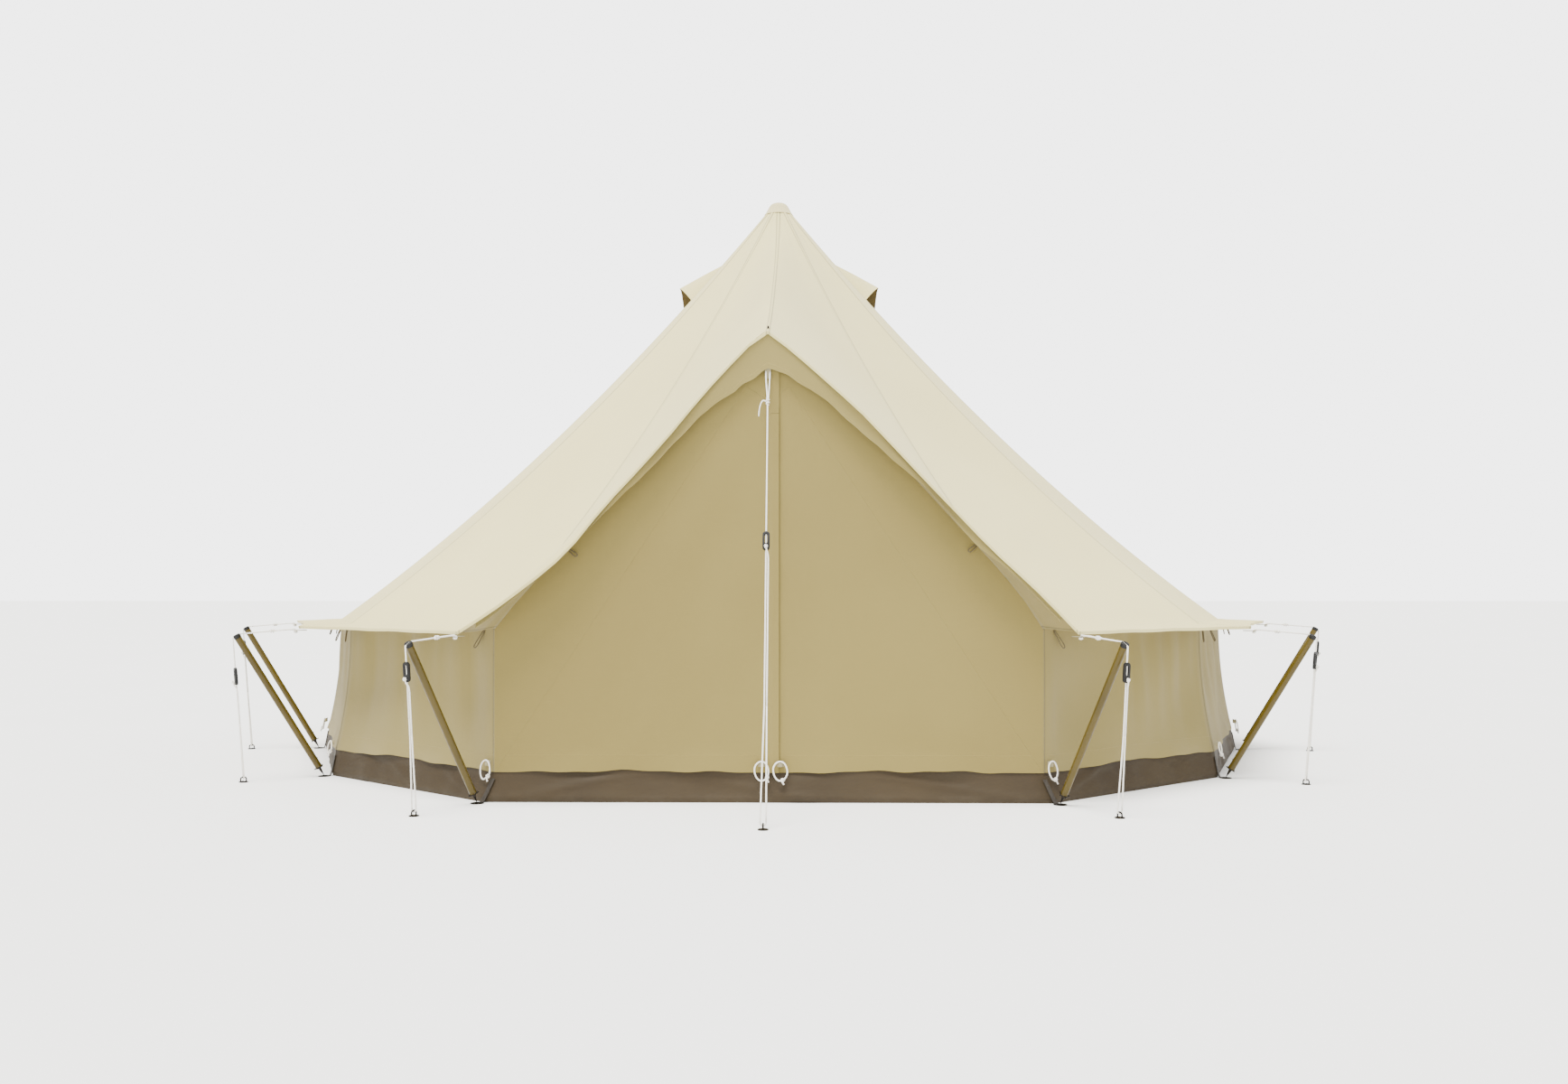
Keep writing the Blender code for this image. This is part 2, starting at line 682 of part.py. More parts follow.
def make_door_fastening():
    """Zip, its pull, and the storm flap that covers them, all on the left leaf."""
    leaf_peak = leaf_top(-1, SPLIT_X) - 2 * LEAF_GAP
    zip_x = SPLIT_X - ZIP_WIDTH / 2 - CLEARANCE
    zip_y = -DOOR_PLANE + CANVAS / 2
    zip_length = leaf_peak - FLAP_TOP_GAP - WALL_HEM_HEIGHT
    bm = bmesh.new()
    box(bm, (-ZIP_WIDTH / 2, -ZIP_THICKNESS / 2, 0), (ZIP_WIDTH / 2, ZIP_THICKNESS / 2, zip_length))
    place = Matrix.Translation((zip_x, zip_y, WALL_HEM_HEIGHT))
    solid("door_zip", bm, ZIP_TAPE, matrix=place)

    left = SPLIT_X - FLAP_WIDTH
    back = -DOOR_PLANE - CLEARANCE
    sewn, raised = FLAP_STEPS
    rows = []
    for height in (WALL_HEM_HEIGHT + zip_length, WALL_HEM_HEIGHT + zip_length / 2, WALL_HEM_HEIGHT):
        rows.append([Vector((left, back - FLAP_THICKNESS, height)),
                     Vector((left + sewn, back - FLAP_THICKNESS, height)),
                     Vector((left + raised, back - FLAP_STANDOFF, height)),
                     Vector((SPLIT_X, back - FLAP_STANDOFF, height))])
    flap = solid("storm_flap", cloth(rows, False), WALL_CLOTH)
    thicken(flap, FLAP_THICKNESS)

    tab_width, tab_depth, tab_length = PULL_TAB
    back = -ZIP_THICKNESS / 2 - CLEARANCE
    front = back - PULL_DEPTH + PULL_BITE
    bm = bmesh.new()
    box(bm, (-PULL_WIDTH / 2, back - PULL_DEPTH, 0), (PULL_WIDTH / 2, back, PULL_HEIGHT))
    tab = bmesh.new()
    low = PULL_TAB_TOP - tab_length
    box(tab, (-tab_width / 2, front - tab_depth, low), (tab_width / 2, front, PULL_TAB_TOP))
    place = Matrix.Translation((zip_x, zip_y, WALL_HEM_HEIGHT + PULL_REST))
    pull = solid("zip_pull", bm, CAST_METAL, matrix=place)
    boolean(pull, cutter("pull_tab", tab, place), "UNION")


def hood_seam_point(side, u):
    """Point on the hood's stitched line, at share u of the way from its tip to a corner."""
    near = min(math.floor(u * ROOF_COLUMNS), ROOF_COLUMNS - 1) / ROOF_COLUMNS
    far = near + 1 / ROOF_COLUMNS
    ends = [flap_point(0, s, seam_share(0, s)) for s in (near, far)]
    point = ends[0].lerp(ends[1], (u - near) * ROOF_COLUMNS)
    return Vector((side * point.x, point.y, point.z))


def make_valance():
    """Flap that hangs from the hood's stitched line over the doorway."""
    line = [(hood_seam_point(-1, u), u) for u in reversed(VALANCE_STATIONS)]
    line += [(hood_seam_point(1, u), u) for u in VALANCE_STATIONS[1:]]
    rows = [[], [], []]
    for point, u in line:
        drop = interpolate(VALANCE_DROPS, u)
        for k, row in enumerate(rows):
            row.append(point - Vector((0, 0, VALANCE_SEAT + drop * k / 2)))
    valance = solid("hood_valance", cloth(rows, False), WALL_CLOTH)
    thicken(valance, CANVAS)


def upstand_corner(i, height):
    """Outer edge of the groundsheet's upstand at corner i."""
    inset = 1 - (CANVAS + 2 * CLEARANCE) / WALL_HEM_RADIUS
    hem = wall_corner(i, 1.0)
    low = Vector((hem.x * inset, hem.y * inset, UPSTAND_BEND))
    if height >= UPSTAND_BEND:
        lean = 1 - UPSTAND_LEAN / WALL_HEM_RADIUS
        high = Vector((low.x * lean, low.y * lean, UPSTAND_HEIGHT))
        return low.lerp(high, (height - UPSTAND_BEND) / (UPSTAND_HEIGHT - UPSTAND_BEND))
    return corner(i, GROUND_RADIUS, 0.0).lerp(low, height / UPSTAND_BEND)


def make_groundsheet():
    """Bathtub groundsheet: a flat floor with an upstand, and straps that hold the foot plates."""
    ring = list(range(1, PANELS))
    rows = [[upstand_corner(i, z) for i in ring] for z in (UPSTAND_HEIGHT, UPSTAND_BEND, 0.0)]
    bm = cloth(rows, True)
    bm.verts.ensure_lookup_table()
    bm.faces.new([bm.verts[2 * len(ring) + k] for k in reversed(range(len(ring)))])
    sheet = solid("groundsheet", bm, SHEET_CLOTH)
    thicken(sheet, SHEET_THICKNESS)
    straps = bmesh.new()
    plates = bmesh.new()
    for i in SIDE_GUYS:
        foot_strap(straps, i)
        add_moved(plates, foot_plate(), guy_frame(i) @ Matrix.Translation((POLE_FOOT_RADIUS, 0, 0)))
    boolean(sheet, cutter("foot_straps", straps), "UNION")
    boolean(sheet, cutter("foot_plates", plates), "UNION")


def foot_strap(bm, i):
    """Strap from the upstand's corner down to the inner edge of a foot plate."""
    number = guy_number(i)
    outwards = corner(i, 1.0, 0.0)
    sideways = Vector((-outwards.y, outwards.x, 0)) * (STRAP_WIDTH / 2)
    half = outwards * (STRAP_THICKNESS / 2)
    rise = Vector((0, 0, STRAP_THICKNESS / 2))
    top = upstand_corner(number, STRAP_TOP_HEIGHT)
    knee = upstand_corner(number, STRAP_KNEE_HEIGHT)
    base = corner(i, GROUND_RADIUS, 0.0)
    end = corner(i, POLE_FOOT_RADIUS - FOOT_PLATE_RADIUS / 2, STRAP_END_LIFT)
    stations = [(top - half, top + half), (knee - half, knee + half),
                (base + half / 2 + rise, base + 3 * half + 4 * rise), (end, end + 1.5 * rise)]
    rings = []
    for inner, outer in stations:
        rings.append([bm.verts.new(p) for p in
                      (inner - sideways, inner + sideways, outer + sideways, outer - sideways)])
    rings_to_tube(bm, rings)


def foot_plate():
    """Round deck plate with a low boss ring round the spike, about its own centre."""
    profile = [(0, FOOT_PLATE_THICKNESS), (FOOT_BOSS_RADIUS - FOOT_BOSS_WALL, FOOT_PLATE_THICKNESS),
               (FOOT_BOSS_RADIUS - FOOT_BOSS_WALL, FOOT_BOSS_HEIGHT), (FOOT_BOSS_RADIUS, FOOT_BOSS_HEIGHT),
               (FOOT_PLATE_RADIUS, FOOT_PLATE_THICKNESS / 2), (FOOT_PLATE_RADIUS, 0), (0, 0)]
    return turned(profile, 10)


# Crown and vents
def make_apex_cap():
    """Cap over the crown ring, resting on the centre pole."""
    shoulder = CAP_TOP_HEIGHT - CAP_SHOULDER_DROP
    wide = CAP_TOP_RADIUS + CAP_SHOULDER_WIDTH
    inside = CAP_THICKNESS
    profile = [
        (0, CAP_TOP_HEIGHT),
        (CAP_TOP_RADIUS, CAP_TOP_HEIGHT - CAP_DOME),
        (wide, shoulder),
        (CAP_RIM_RADIUS, CAP_RIM_HEIGHT),
        (CAP_RIM_RADIUS - inside, CAP_RIM_HEIGHT),
        (wide - inside, shoulder - inside),
        (CAP_TOP_RADIUS - inside, CAP_TOP_HEIGHT - CAP_DOME - inside),
        (0, CAP_TOP_HEIGHT - CAP_DOME - inside),
    ]
    solid("apex_cap", turned(profile, 16), CAP_CLOTH, smooth=True)


def vent_rows(panel):
    """Arched rows of a vent hood, from its start on the roof to its mouth, in its panel's frame."""
    rows = []
    for share in VENT_ROWS:
        radius = lerp(VENT_START, VENT_REACH, share)
        row = []
        for k in range(VENT_STATIONS):
            across = -1 + 2 * k / (VENT_STATIONS - 1)
            x = radius - VENT_CORNER_SETBACK * abs(across) * share
            y = VENT_HALF_WIDTH * share * across
            rise = VENT_RISE * share * (1 - across * across) + CANVAS + VENT_LIFT
            row.append(Vector((x, y, roof_height(panel, x, y) + rise)))
        rows.append(row)
    return rows


def make_vent(panel, name):
    """Arched hood over a roof vent."""
    down = Vector((0, 0, -CANVAS))
    rows = vent_rows(panel)
    hood = bmesh.new()
    outer = [[hood.verts.new(p) for p in row] for row in rows]
    inner = [[hood.verts.new(p + down) for p in row] for row in rows]
    skin_shell(hood, outer, inner)
    solid(f"vent_hood_{name}", hood, ROOF_CLOTH, matrix=guy_frame(panel + 0.5))


def skin_shell(bm, outer, inner):
    """Close the body between an outer and an inner grid of vertices."""
    rows = len(outer)
    columns = len(outer[0])
    for r in range(rows - 1):
        for k in range(columns - 1):
            bm.faces.new((outer[r][k], outer[r + 1][k], outer[r + 1][k + 1], outer[r][k + 1]))
            bm.faces.new((inner[r][k], inner[r][k + 1], inner[r + 1][k + 1], inner[r + 1][k]))
    for k in range(columns - 1):
        bm.faces.new((outer[0][k], outer[0][k + 1], inner[0][k + 1], inner[0][k]))
        bm.faces.new((outer[-1][k], inner[-1][k], inner[-1][k + 1], outer[-1][k + 1]))
    for r in range(rows - 1):
        bm.faces.new((outer[r][0], inner[r][0], inner[r + 1][0], outer[r + 1][0]))
        bm.faces.new((outer[r][-1], outer[r + 1][-1], inner[r + 1][-1], inner[r][-1]))


# Poles
def hollow_tube(radius, wall, low, high, sides):
    """Open-ended tube about z."""
    return turned([(radius, high), (radius, low), (radius - wall, low), (radius - wall, high)], sides)


def make_centre_pole():
    """Two-section centre pole with a foot pad, and a plate near its top that carries the crown."""
    floor = SHEET_THICKNESS + CLEARANCE
    pad = turned([(0, FOOT_PAD_HEIGHT), (FOOT_PAD_RADIUS * 0.7, FOOT_PAD_HEIGHT), (FOOT_PAD_RADIUS, 0),
                  (0, 0)], 12)
    solid("centre_pole_foot", pad, BLACK_RUBBER, matrix=Matrix.Translation((0, 0, floor)))
    low = floor + FOOT_PAD_HEIGHT + CLEARANCE
    bm = hollow_tube(CENTRE_POLE_RADIUS, POLE_WALL, low, CENTRE_POLE_JOINT, 12)
    solid("centre_pole_lower", bm, OLIVE_LACQUER, smooth=True)
    spigot = CENTRE_POLE_RADIUS - POLE_WALL - CLEARANCE
    bore = spigot - POLE_WALL
    top = CAP_TOP_HEIGHT - CAP_DOME - CAP_THICKNESS - CLEARANCE
    joint = CENTRE_POLE_JOINT + CLEARANCE
    plate = CROWN_PLATE_HEIGHT - CROWN_PLATE_THICKNESS
    profile = [(0, top), (CENTRE_POLE_RADIUS, top), (CENTRE_POLE_RADIUS, CROWN_PLATE_HEIGHT),
               (CROWN_PLATE_RADIUS, CROWN_PLATE_HEIGHT), (CROWN_PLATE_RADIUS, plate),
               (CENTRE_POLE_RADIUS, plate), (CENTRE_POLE_RADIUS, joint), (spigot, joint),
               (spigot, joint - SPIGOT_LENGTH), (bore, joint - SPIGOT_LENGTH), (bore, top - POLE_WALL),
               (0, top - POLE_WALL)]
    solid("centre_pole_upper", turned(profile, 12), OLIVE_LACQUER, smooth=True)


def along(start, end):
    """Frame at start whose z axis runs to end."""
    turn = (end - start).to_track_quat("Z", "Y").to_matrix().to_4x4()
    return Matrix.Translation(start) @ turn


def make_a_frame():
    """A-frame behind the doorway: two legs with feet, and an elbow whose spike stands through the hood."""
    floor = SHEET_THICKNESS + CLEARANCE
    spigot = FRAME_TUBE_RADIUS - POLE_WALL - CLEARANCE
    path = []
    for side, name in ((-1, "left"), (1, "right")):
        foot = Vector((side * FRAME_FOOT_X, -FRAME_FOOT_Y, floor + LEG_LIFT))
        top = Vector((side * FRAME_TOP_X, -FRAME_TOP_Y, FRAME_TOP_Z))
        place = along(foot, top)
        leg = hollow_tube(FRAME_TUBE_RADIUS, POLE_WALL, 0, (top - foot).length, FRAME_SIDES)
        solid(f"a_frame_{name}_leg", leg, OLIVE_LACQUER, matrix=place, smooth=True)
        shoe = turned([(0, SHOE_PLUG), (spigot, SHOE_PLUG), (spigot, -CLEARANCE), (SHOE_RADIUS, -CLEARANCE),
                       (SHOE_RADIUS, -SHOE_LENGTH), (0, -SHOE_LENGTH)], FRAME_SIDES)
        item = solid(f"a_frame_{name}_foot", shoe, BLACK_RUBBER, matrix=place)
        below = bmesh.new()
        box(below, (-SHOE_LENGTH, -SHOE_LENGTH, -SHOE_LENGTH), (SHOE_LENGTH, SHOE_LENGTH, 0))
        ground = Matrix.Translation((foot.x, foot.y, floor))
        boolean(item, cutter(f"floor_{name}", below, ground), "DIFFERENCE")
        ahead = (top - foot).normalized()
        joint = top + ahead * CLEARANCE
        limb = [(top - ahead * ELBOW_SPIGOT, spigot), (joint, spigot), (joint, FRAME_TUBE_RADIUS),
                (top + ahead * ELBOW_NECK, FRAME_TUBE_RADIUS)]
        path += limb if side < 0 else reversed(limb)
    peak = Vector((0, -FRAME_TOP_Y, ELBOW_PEAK_Z))
    path.insert(len(path) // 2, (peak, FRAME_TUBE_RADIUS))
    elbow = bmesh.new()
    tube(elbow, [point for point, _ in path], [radius for _, radius in path], FRAME_SIDES, Vector((0, 1, 0)))
    item = solid("a_frame_elbow", elbow, BLACK_METAL)
    spike = turned([(0, SPIKE_TOP_Z), (SPIKE_RADIUS, SPIKE_TOP_Z - 1.5 * SPIKE_RADIUS),
                    (SPIKE_RADIUS, peak.z), (0, peak.z)], 8)
    boolean(item, cutter("elbow_spike", spike, Matrix.Translation((0, -FRAME_TOP_Y, 0))), "UNION")


def pole_profile():
    """Turned outline of a side pole along z: capped tube above, collar stem and spike below."""
    collar_top = SPIKE_LENGTH + COLLAR_THICKNESS
    head_low = POLE_LENGTH - CAP_HEAD_LENGTH
    crown = POLE_LENGTH - CAP_CROWN
    cap_radius = POLE_RADIUS + CAP_LIP
    return [(0, crown), (cap_radius - CAP_CHAMFER, crown), (cap_radius, crown - CAP_CHAMFER),
            (cap_radius, head_low), (POLE_RADIUS, head_low), (POLE_RADIUS, collar_top),
            (POLE_RADIUS, SPIKE_LENGTH), (SPIKE_NECK_RADIUS, SPIKE_LENGTH - SPIKE_SHOULDER),
            (0, 0)]


def collar_body():
    """Star-shaped collar round the foot of a side pole."""
    outline = []
    for k in range(2 * COLLAR_POINTS):
        radius = COLLAR_RADIUS if k % 2 == 0 else COLLAR_RADIUS * COLLAR_VALLEY
        turn = math.pi * k / COLLAR_POINTS
        outline.append((radius * math.cos(turn), radius * math.sin(turn)))
    return prism(outline, SPIKE_LENGTH, SPIKE_LENGTH + COLLAR_THICKNESS)


def groove_body():
    """Groove across the top of a pole cap, where the rope lies."""
    bm = bmesh.new()
    half = ROPE_RADIUS + GROOVE_ROOM
    reach = 2 * POLE_RADIUS
    box(bm, (-reach, -half, POLE_LENGTH - GROOVE_DEPTH), (reach, half, POLE_LENGTH + GROOVE_DEPTH))
    return bm


def foot_place(i):
    """Frame of side pole i: on the point of its spike, leaning outwards along z."""
    lift = FOOT_PLATE_THICKNESS + CLEARANCE
    stand = Matrix.Translation((POLE_FOOT_RADIUS, 0, lift))
    return guy_frame(i) @ stand @ Matrix.Rotation(POLE_LEAN, 4, "Y")


def guy_number(i):
    """Number of a side pole, counted round from the door: 1 to 12."""
    return i if i > 0 else PANELS + i


def guy_name(i):
    """Name ending of guy line i."""
    return "door" if i == 0 else f"{guy_number(i):02d}"


def pole_cavity():
    """Hollow of a side pole."""
    radius = POLE_RADIUS - POLE_WALL
    high = POLE_LENGTH - CAP_HEAD_LENGTH
    return turned([(0, high), (radius, high), (radius, CAVITY_FLOOR), (0, CAVITY_FLOOR)], POLE_SIDES)


def button_hole():
    """Small hole through one side of a pole, into its hollow."""
    radius = BUTTON_HOLE_RADIUS
    hole = turned([(0, 0), (radius, 0), (radius, -2 * POLE_RADIUS), (0, -2 * POLE_RADIUS)], 6)
    hole.transform(Matrix.Translation((0, 0, BUTTON_HOLE_HEIGHT)) @ Matrix.Rotation(math.pi / 2, 4, "Y"))
    return hole


def make_side_poles():
    """Leaning side poles, each with a grooved cap, a star collar and a spiked foot."""
    shaft = bpy.data.meshes.new("side_pole")
    bm = turned(pole_profile(), POLE_SIDES)
    bm.to_mesh(shaft)
    bm.free()
    tools = [(cutter("pole_collar", collar_body()), "UNION"),
             (cutter("cap_groove", groove_body()), "DIFFERENCE"),
             (cutter("pole_cavity", pole_cavity()), "DIFFERENCE"),
             (cutter("button_hole", button_hole()), "DIFFERENCE")]
    for i in SIDE_GUYS:
        number = guy_number(i)
        joint = empty(f"pole_{number:02d}_foot", foot_place(i))
        item = solid(f"side_pole_{number:02d}", shaft, OLIVE_LACQUER, parent=joint)
        for tool, operation in tools:
            shared_boolean(item, tool, operation, joint)
    for tool, _ in tools:
        bpy.data.objects.remove(tool, do_unlink=True)


# Guy lines
def pole_point(along_pole, outwards):
    """Point beside a side pole, in its guy's frame: distance up from its foot, and out from its axis."""
    lift = FOOT_PLATE_THICKNESS + CLEARANCE
    sine = math.sin(POLE_LEAN)
    cosine = math.cos(POLE_LEAN)
    return Vector((POLE_FOOT_RADIUS + along_pole * sine + outwards * cosine, 0,
                   lift + along_pole * cosine - outwards * sine))


def tab_hole(i):
    """Where a guy line starts, as (distance from the centre, height)."""
    if i == 0:
        return (DOOR_GUY_Y, DOOR_GUY_HEIGHT)
    height = EAVE_HEIGHT - EAVE_HEM - TAB_THICKNESS / 2 + TAB_OVERLAP
    return (EAVE_RADIUS + TAB_OVERHANG - TAB_HOLE_INSET, height)


def anchor_radius(i):
    """Distance of a guy line's anchor from the centre."""
    return DOOR_ANCHOR_RADIUS if i == 0 else ANCHOR_RADIUS


def rope_place(above_tip, outwards):
    """Point of the rope's run over a pole's cap, measured from the pole's tip."""
    return pole_point(POLE_LENGTH + above_tip, outwards)


def lower_span(i):
    """Top and bottom of the stretch that carries the tensioner, in the guy's frame."""
    if i == 0:
        radius, height = tab_hole(0)
        top = Vector((radius, 0, height))
    else:
        top = rope_place(*ROPE_RUN[-1])
    hook = EYE_HEIGHT - ROPE_RADIUS - EYE_BAR_RADIUS + EYE_BITE
    return top, Vector((anchor_radius(i), 0, hook + LOOP_RADIUS))


def slider_drop(i):
    """How far down its rope a tensioner's top lies."""
    if i == 0:
        return DOOR_SLIDER_DROP
    return LOW_SLIDER_DROP if i in LOW_SLIDER_GUYS else SLIDER_DROP


def anchor_loop(i):
    """Rope points round an anchor's eye, in the guy's frame."""
    _, bottom = lower_span(i)
    points = []
    for k in range(5):
        turn = math.pi * k / 4
        points.append(bottom + Vector((0, -LOOP_RADIUS * math.cos(turn), -LOOP_RADIUS * math.sin(turn))))
    return points


def rope_points(i):
    """Route of guy line i in its own frame: eave tab, pole cap, anchor eye and back up."""
    top, bottom = lower_span(i)
    ahead = (bottom - top).normalized()
    slider_end = top + ahead * (slider_drop(i) + SLIDER_LENGTH)
    if i == 0:
        points = [top]
    else:
        radius, height = tab_hole(i)
        under = TAB_THICKNESS + ROPE_RADIUS
        points = [Vector((radius, 0, height - 2 * under)), Vector((radius, 0, height)),
                  Vector((radius + ROPE_RADIUS, 0, height + under))]
        points += [rope_place(*place) for place in ROPE_RUN]
    end = slider_end + ahead * 2 * CLEARANCE + Vector((0, STRAND_GAP, 0))
    return [*points, slider_end, *anchor_loop(i), end + ahead * KNOT_LENGTH, end]


def make_guy_lines():
    """Ropes, each with the deck plate and eye that its lower loop is hooked on."""
    plate = cutter("anchor_plate", anchor_plate())
    eye = cutter("anchor_eye", anchor_eye())
    for i in GUYS:
        strand = bmesh.new()
        tube(strand, rope_points(i), ROPE_RADIUS, ROPE_SIDES, Vector((1, 0, 1)))
        item = solid(f"guy_line_{guy_name(i)}", strand, ROPE, matrix=guy_frame(i))
        foot = Matrix.Translation((anchor_radius(i), 0, 0))
        shared_boolean(item, eye, "UNION", item, foot)
        shared_boolean(item, plate, "UNION", item, foot)
    for tool in (plate, eye):
        bpy.data.objects.remove(tool, do_unlink=True)


def anchor_plate():
    """Round deck plate of an anchor."""
    return turned([(0, ANCHOR_PLATE_THICKNESS), (ANCHOR_PLATE_RADIUS, ANCHOR_PLATE_THICKNESS),
                   (ANCHOR_PLATE_RADIUS, 0), (0, 0)], 12)


def anchor_eye():
    """Bent bar of an anchor, with both feet in its plate."""
    low = ANCHOR_PLATE_THICKNESS / 2
    bend = EYE_HALF_SPAN / 3
    path = [Vector((-EYE_HALF_SPAN, 0, low)), Vector((-EYE_HALF_SPAN, 0, EYE_HEIGHT - bend)),
            Vector((-EYE_HALF_SPAN + bend, 0, EYE_HEIGHT)), Vector((EYE_HALF_SPAN - bend, 0, EYE_HEIGHT)),
            Vector((EYE_HALF_SPAN, 0, EYE_HEIGHT - bend)), Vector((EYE_HALF_SPAN, 0, low))]
    bm = bmesh.new()
    tube(bm, path, EYE_BAR_RADIUS, 5, Vector((0, 1, 0)))
    return bm


def make_sliders():
    """Rope tensioners: a plate with a bore for the rope and a window that shows it."""
    half = SLIDER_LENGTH / 2
    outline = [(y, x) for x, y in reversed(stadium(SLIDER_LENGTH, SLIDER_WIDTH, 4))]
    body = prism(outline, -SLIDER_THICKNESS / 2, SLIDER_THICKNESS / 2)
    plate = bpy.data.meshes.new("guy_slider")
    body.to_mesh(plate)
    body.free()
    run = half + SLIDER_WIDTH / 2
    bore = turned([(0, run), (SLIDER_BORE_RADIUS, run), (SLIDER_BORE_RADIUS, -run), (0, -run)], 6)
    bore.transform(Matrix.Rotation(math.pi / 2, 4, "Y"))
    window_length, window_width = SLIDER_WINDOW
    outline = [(y, x) for x, y in reversed(stadium(window_length, window_width, 3))]
    opening = prism(outline, -SLIDER_THICKNESS, SLIDER_THICKNESS)
    tools = (cutter("slider_bore", bore), cutter("slider_window", opening))
    for i in GUYS:
        top, bottom = lower_span(i)
        ahead = (bottom - top).normalized()
        side = Vector((0, 1, 0))
        turn = Matrix((ahead, side, ahead.cross(side))).transposed().to_4x4()
        place = guy_frame(i) @ Matrix.Translation(top + ahead * (slider_drop(i) + half)) @ turn
        item = solid(f"guy_slider_{guy_name(i)}", plate, BLACK_PLASTIC, matrix=place)
        for tool in tools:
            shared_boolean(item, tool, "DIFFERENCE", item)
    for tool in tools:
        bpy.data.objects.remove(tool, do_unlink=True)


def main():
    """Build every piece of the tent."""
    clear_scene()
    make_roof()
    make_walls()
    make_leaf(-1, "door_leaf_left")
    make_leaf(1, "door_leaf_right")
    make_door_fastening()
    make_valance()
    make_groundsheet()
    make_apex_cap()
    for panel, name in VENT_PANELS:
        make_vent(panel, name)
    make_centre_pole()
    make_a_frame()
    make_side_poles()
    make_guy_lines()
    make_sliders()


main()
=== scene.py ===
import logging
import math
from dataclasses import dataclass, field
from enum import Enum
from typing import Callable, Iterable, Sequence

import bpy
from mathutils import Euler, Matrix, Vector


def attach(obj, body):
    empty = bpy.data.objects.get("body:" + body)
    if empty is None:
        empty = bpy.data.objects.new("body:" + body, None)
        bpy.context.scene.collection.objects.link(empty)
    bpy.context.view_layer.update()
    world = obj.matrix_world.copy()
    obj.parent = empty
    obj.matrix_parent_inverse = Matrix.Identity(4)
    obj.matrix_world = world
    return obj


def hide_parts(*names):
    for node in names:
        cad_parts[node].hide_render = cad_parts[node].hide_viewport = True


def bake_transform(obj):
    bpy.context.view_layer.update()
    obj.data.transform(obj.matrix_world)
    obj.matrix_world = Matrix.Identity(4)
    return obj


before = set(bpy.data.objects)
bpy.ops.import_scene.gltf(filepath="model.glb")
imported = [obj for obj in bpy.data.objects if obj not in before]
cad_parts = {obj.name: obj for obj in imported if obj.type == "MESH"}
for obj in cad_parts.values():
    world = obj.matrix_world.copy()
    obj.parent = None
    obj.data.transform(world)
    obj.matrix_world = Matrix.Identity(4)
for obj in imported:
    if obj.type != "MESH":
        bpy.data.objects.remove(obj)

log = logging.getLogger("bell_tent")

Piece = bpy.types.Object
Face = bpy.types.MeshPolygon
Socket = bpy.types.NodeSocket
Triple = tuple[float, float, float]
Colour = Triple
Rows = tuple[tuple[float, float], ...]
Place = Callable[[float, float], Vector]
FAR = 1.0


class Body(str, Enum):
    """Bodies of the frame that pieces ride on, apart from the numbered poles and tensioners."""

    TENT = "tent"
    LEFT_LEAF = "left_leaf"
    RIGHT_LEAF = "right_leaf"


class Edge(Enum):
    """Which way a sheet's grid is joined up."""

    OPEN = 0
    RING = 1


def tone(red: float, green: float, blue: float) -> Colour:
    """Turn a picture colour of 0 to 255 into the shader's linear colour.

    Args:
        red: Red, 0 to 255.
        green: Green, 0 to 255.
        blue: Blue, 0 to 255.

    Returns:
        The linear colour.
    """
    def linear(value: float) -> float:
        """Undo the picture's gamma for one channel."""
        share = value / 255
        return share / 12.92 if share <= 0.04045 else ((share + 0.055) / 1.055) ** 2.4

    return linear(red), linear(green), linear(blue)


def shade(colour: Colour, factor: float, more: float = 0.0) -> Colour:
    """Scale a colour and add to it, up to white."""
    return tuple(min(1.0, value * factor + more) for value in colour)


def lerp(a: float, b: float, t: float) -> float:
    """Value at share t of the way from a to b."""
    return a + (b - a) * t


def smooth(t: float) -> float:
    """Soft step from 0 to 1."""
    t = min(max(t, 0.0), 1.0)
    return t * t * (3 - 2 * t)


def table(pairs: Rows, t: float) -> float:
    """Look a value up in a short table, with soft passages between its entries.

    Args:
        pairs: Rows of (position, value), in rising order.
        t: Position to look up.

    Returns:
        The value there.
    """
    for (t0, v0), (t1, v1) in zip(pairs, pairs[1:]):
        if t <= t1:
            return lerp(v0, v1, max(0.0, (t - t0) / (t1 - t0)))
    return pairs[-1][1]


def ripple(*terms: tuple[float, float, float], at: float) -> float:
    """Sum of sine waves, each given as (height, turns per unit, phase), for the unevenness of cloth."""
    return sum(high * math.sin(2 * math.pi * (turns * at + phase)) for high, turns, phase in terms)


# Modelling by operators
def deselect() -> None:
    """Leave edit mode and drop the whole selection."""
    if bpy.context.object and bpy.context.object.mode != "OBJECT":
        bpy.ops.object.mode_set(mode="OBJECT")
    bpy.ops.object.select_all(action="DESELECT")


def activate(item: Piece) -> None:
    """Make one object the only selected and active one."""
    deselect()
    item.select_set(True)
    bpy.context.view_layer.objects.active = item


def claim(name: str) -> Piece:
    """Name the primitive that was just added and put its place into its mesh.

    Args:
        name: Name of the piece.

    Returns:
        The object.
    """
    item = bpy.context.object
    item.name = name
    item.data.name = name
    bpy.ops.object.transform_apply(location=True, rotation=True, scale=True)
    return item


def modify(item: Piece, kind: str, **settings: object) -> None:
    """Add a modifier and apply it.

    Args:
        item: Object to work on.
        kind: Kind of modifier.
        settings: Its settings.
    """
    activate(item)
    modifier = item.modifiers.new(kind.lower(), kind)
    for key, value in settings.items():
        setattr(modifier, key, value)
    bpy.ops.object.modifier_apply(modifier=modifier.name)


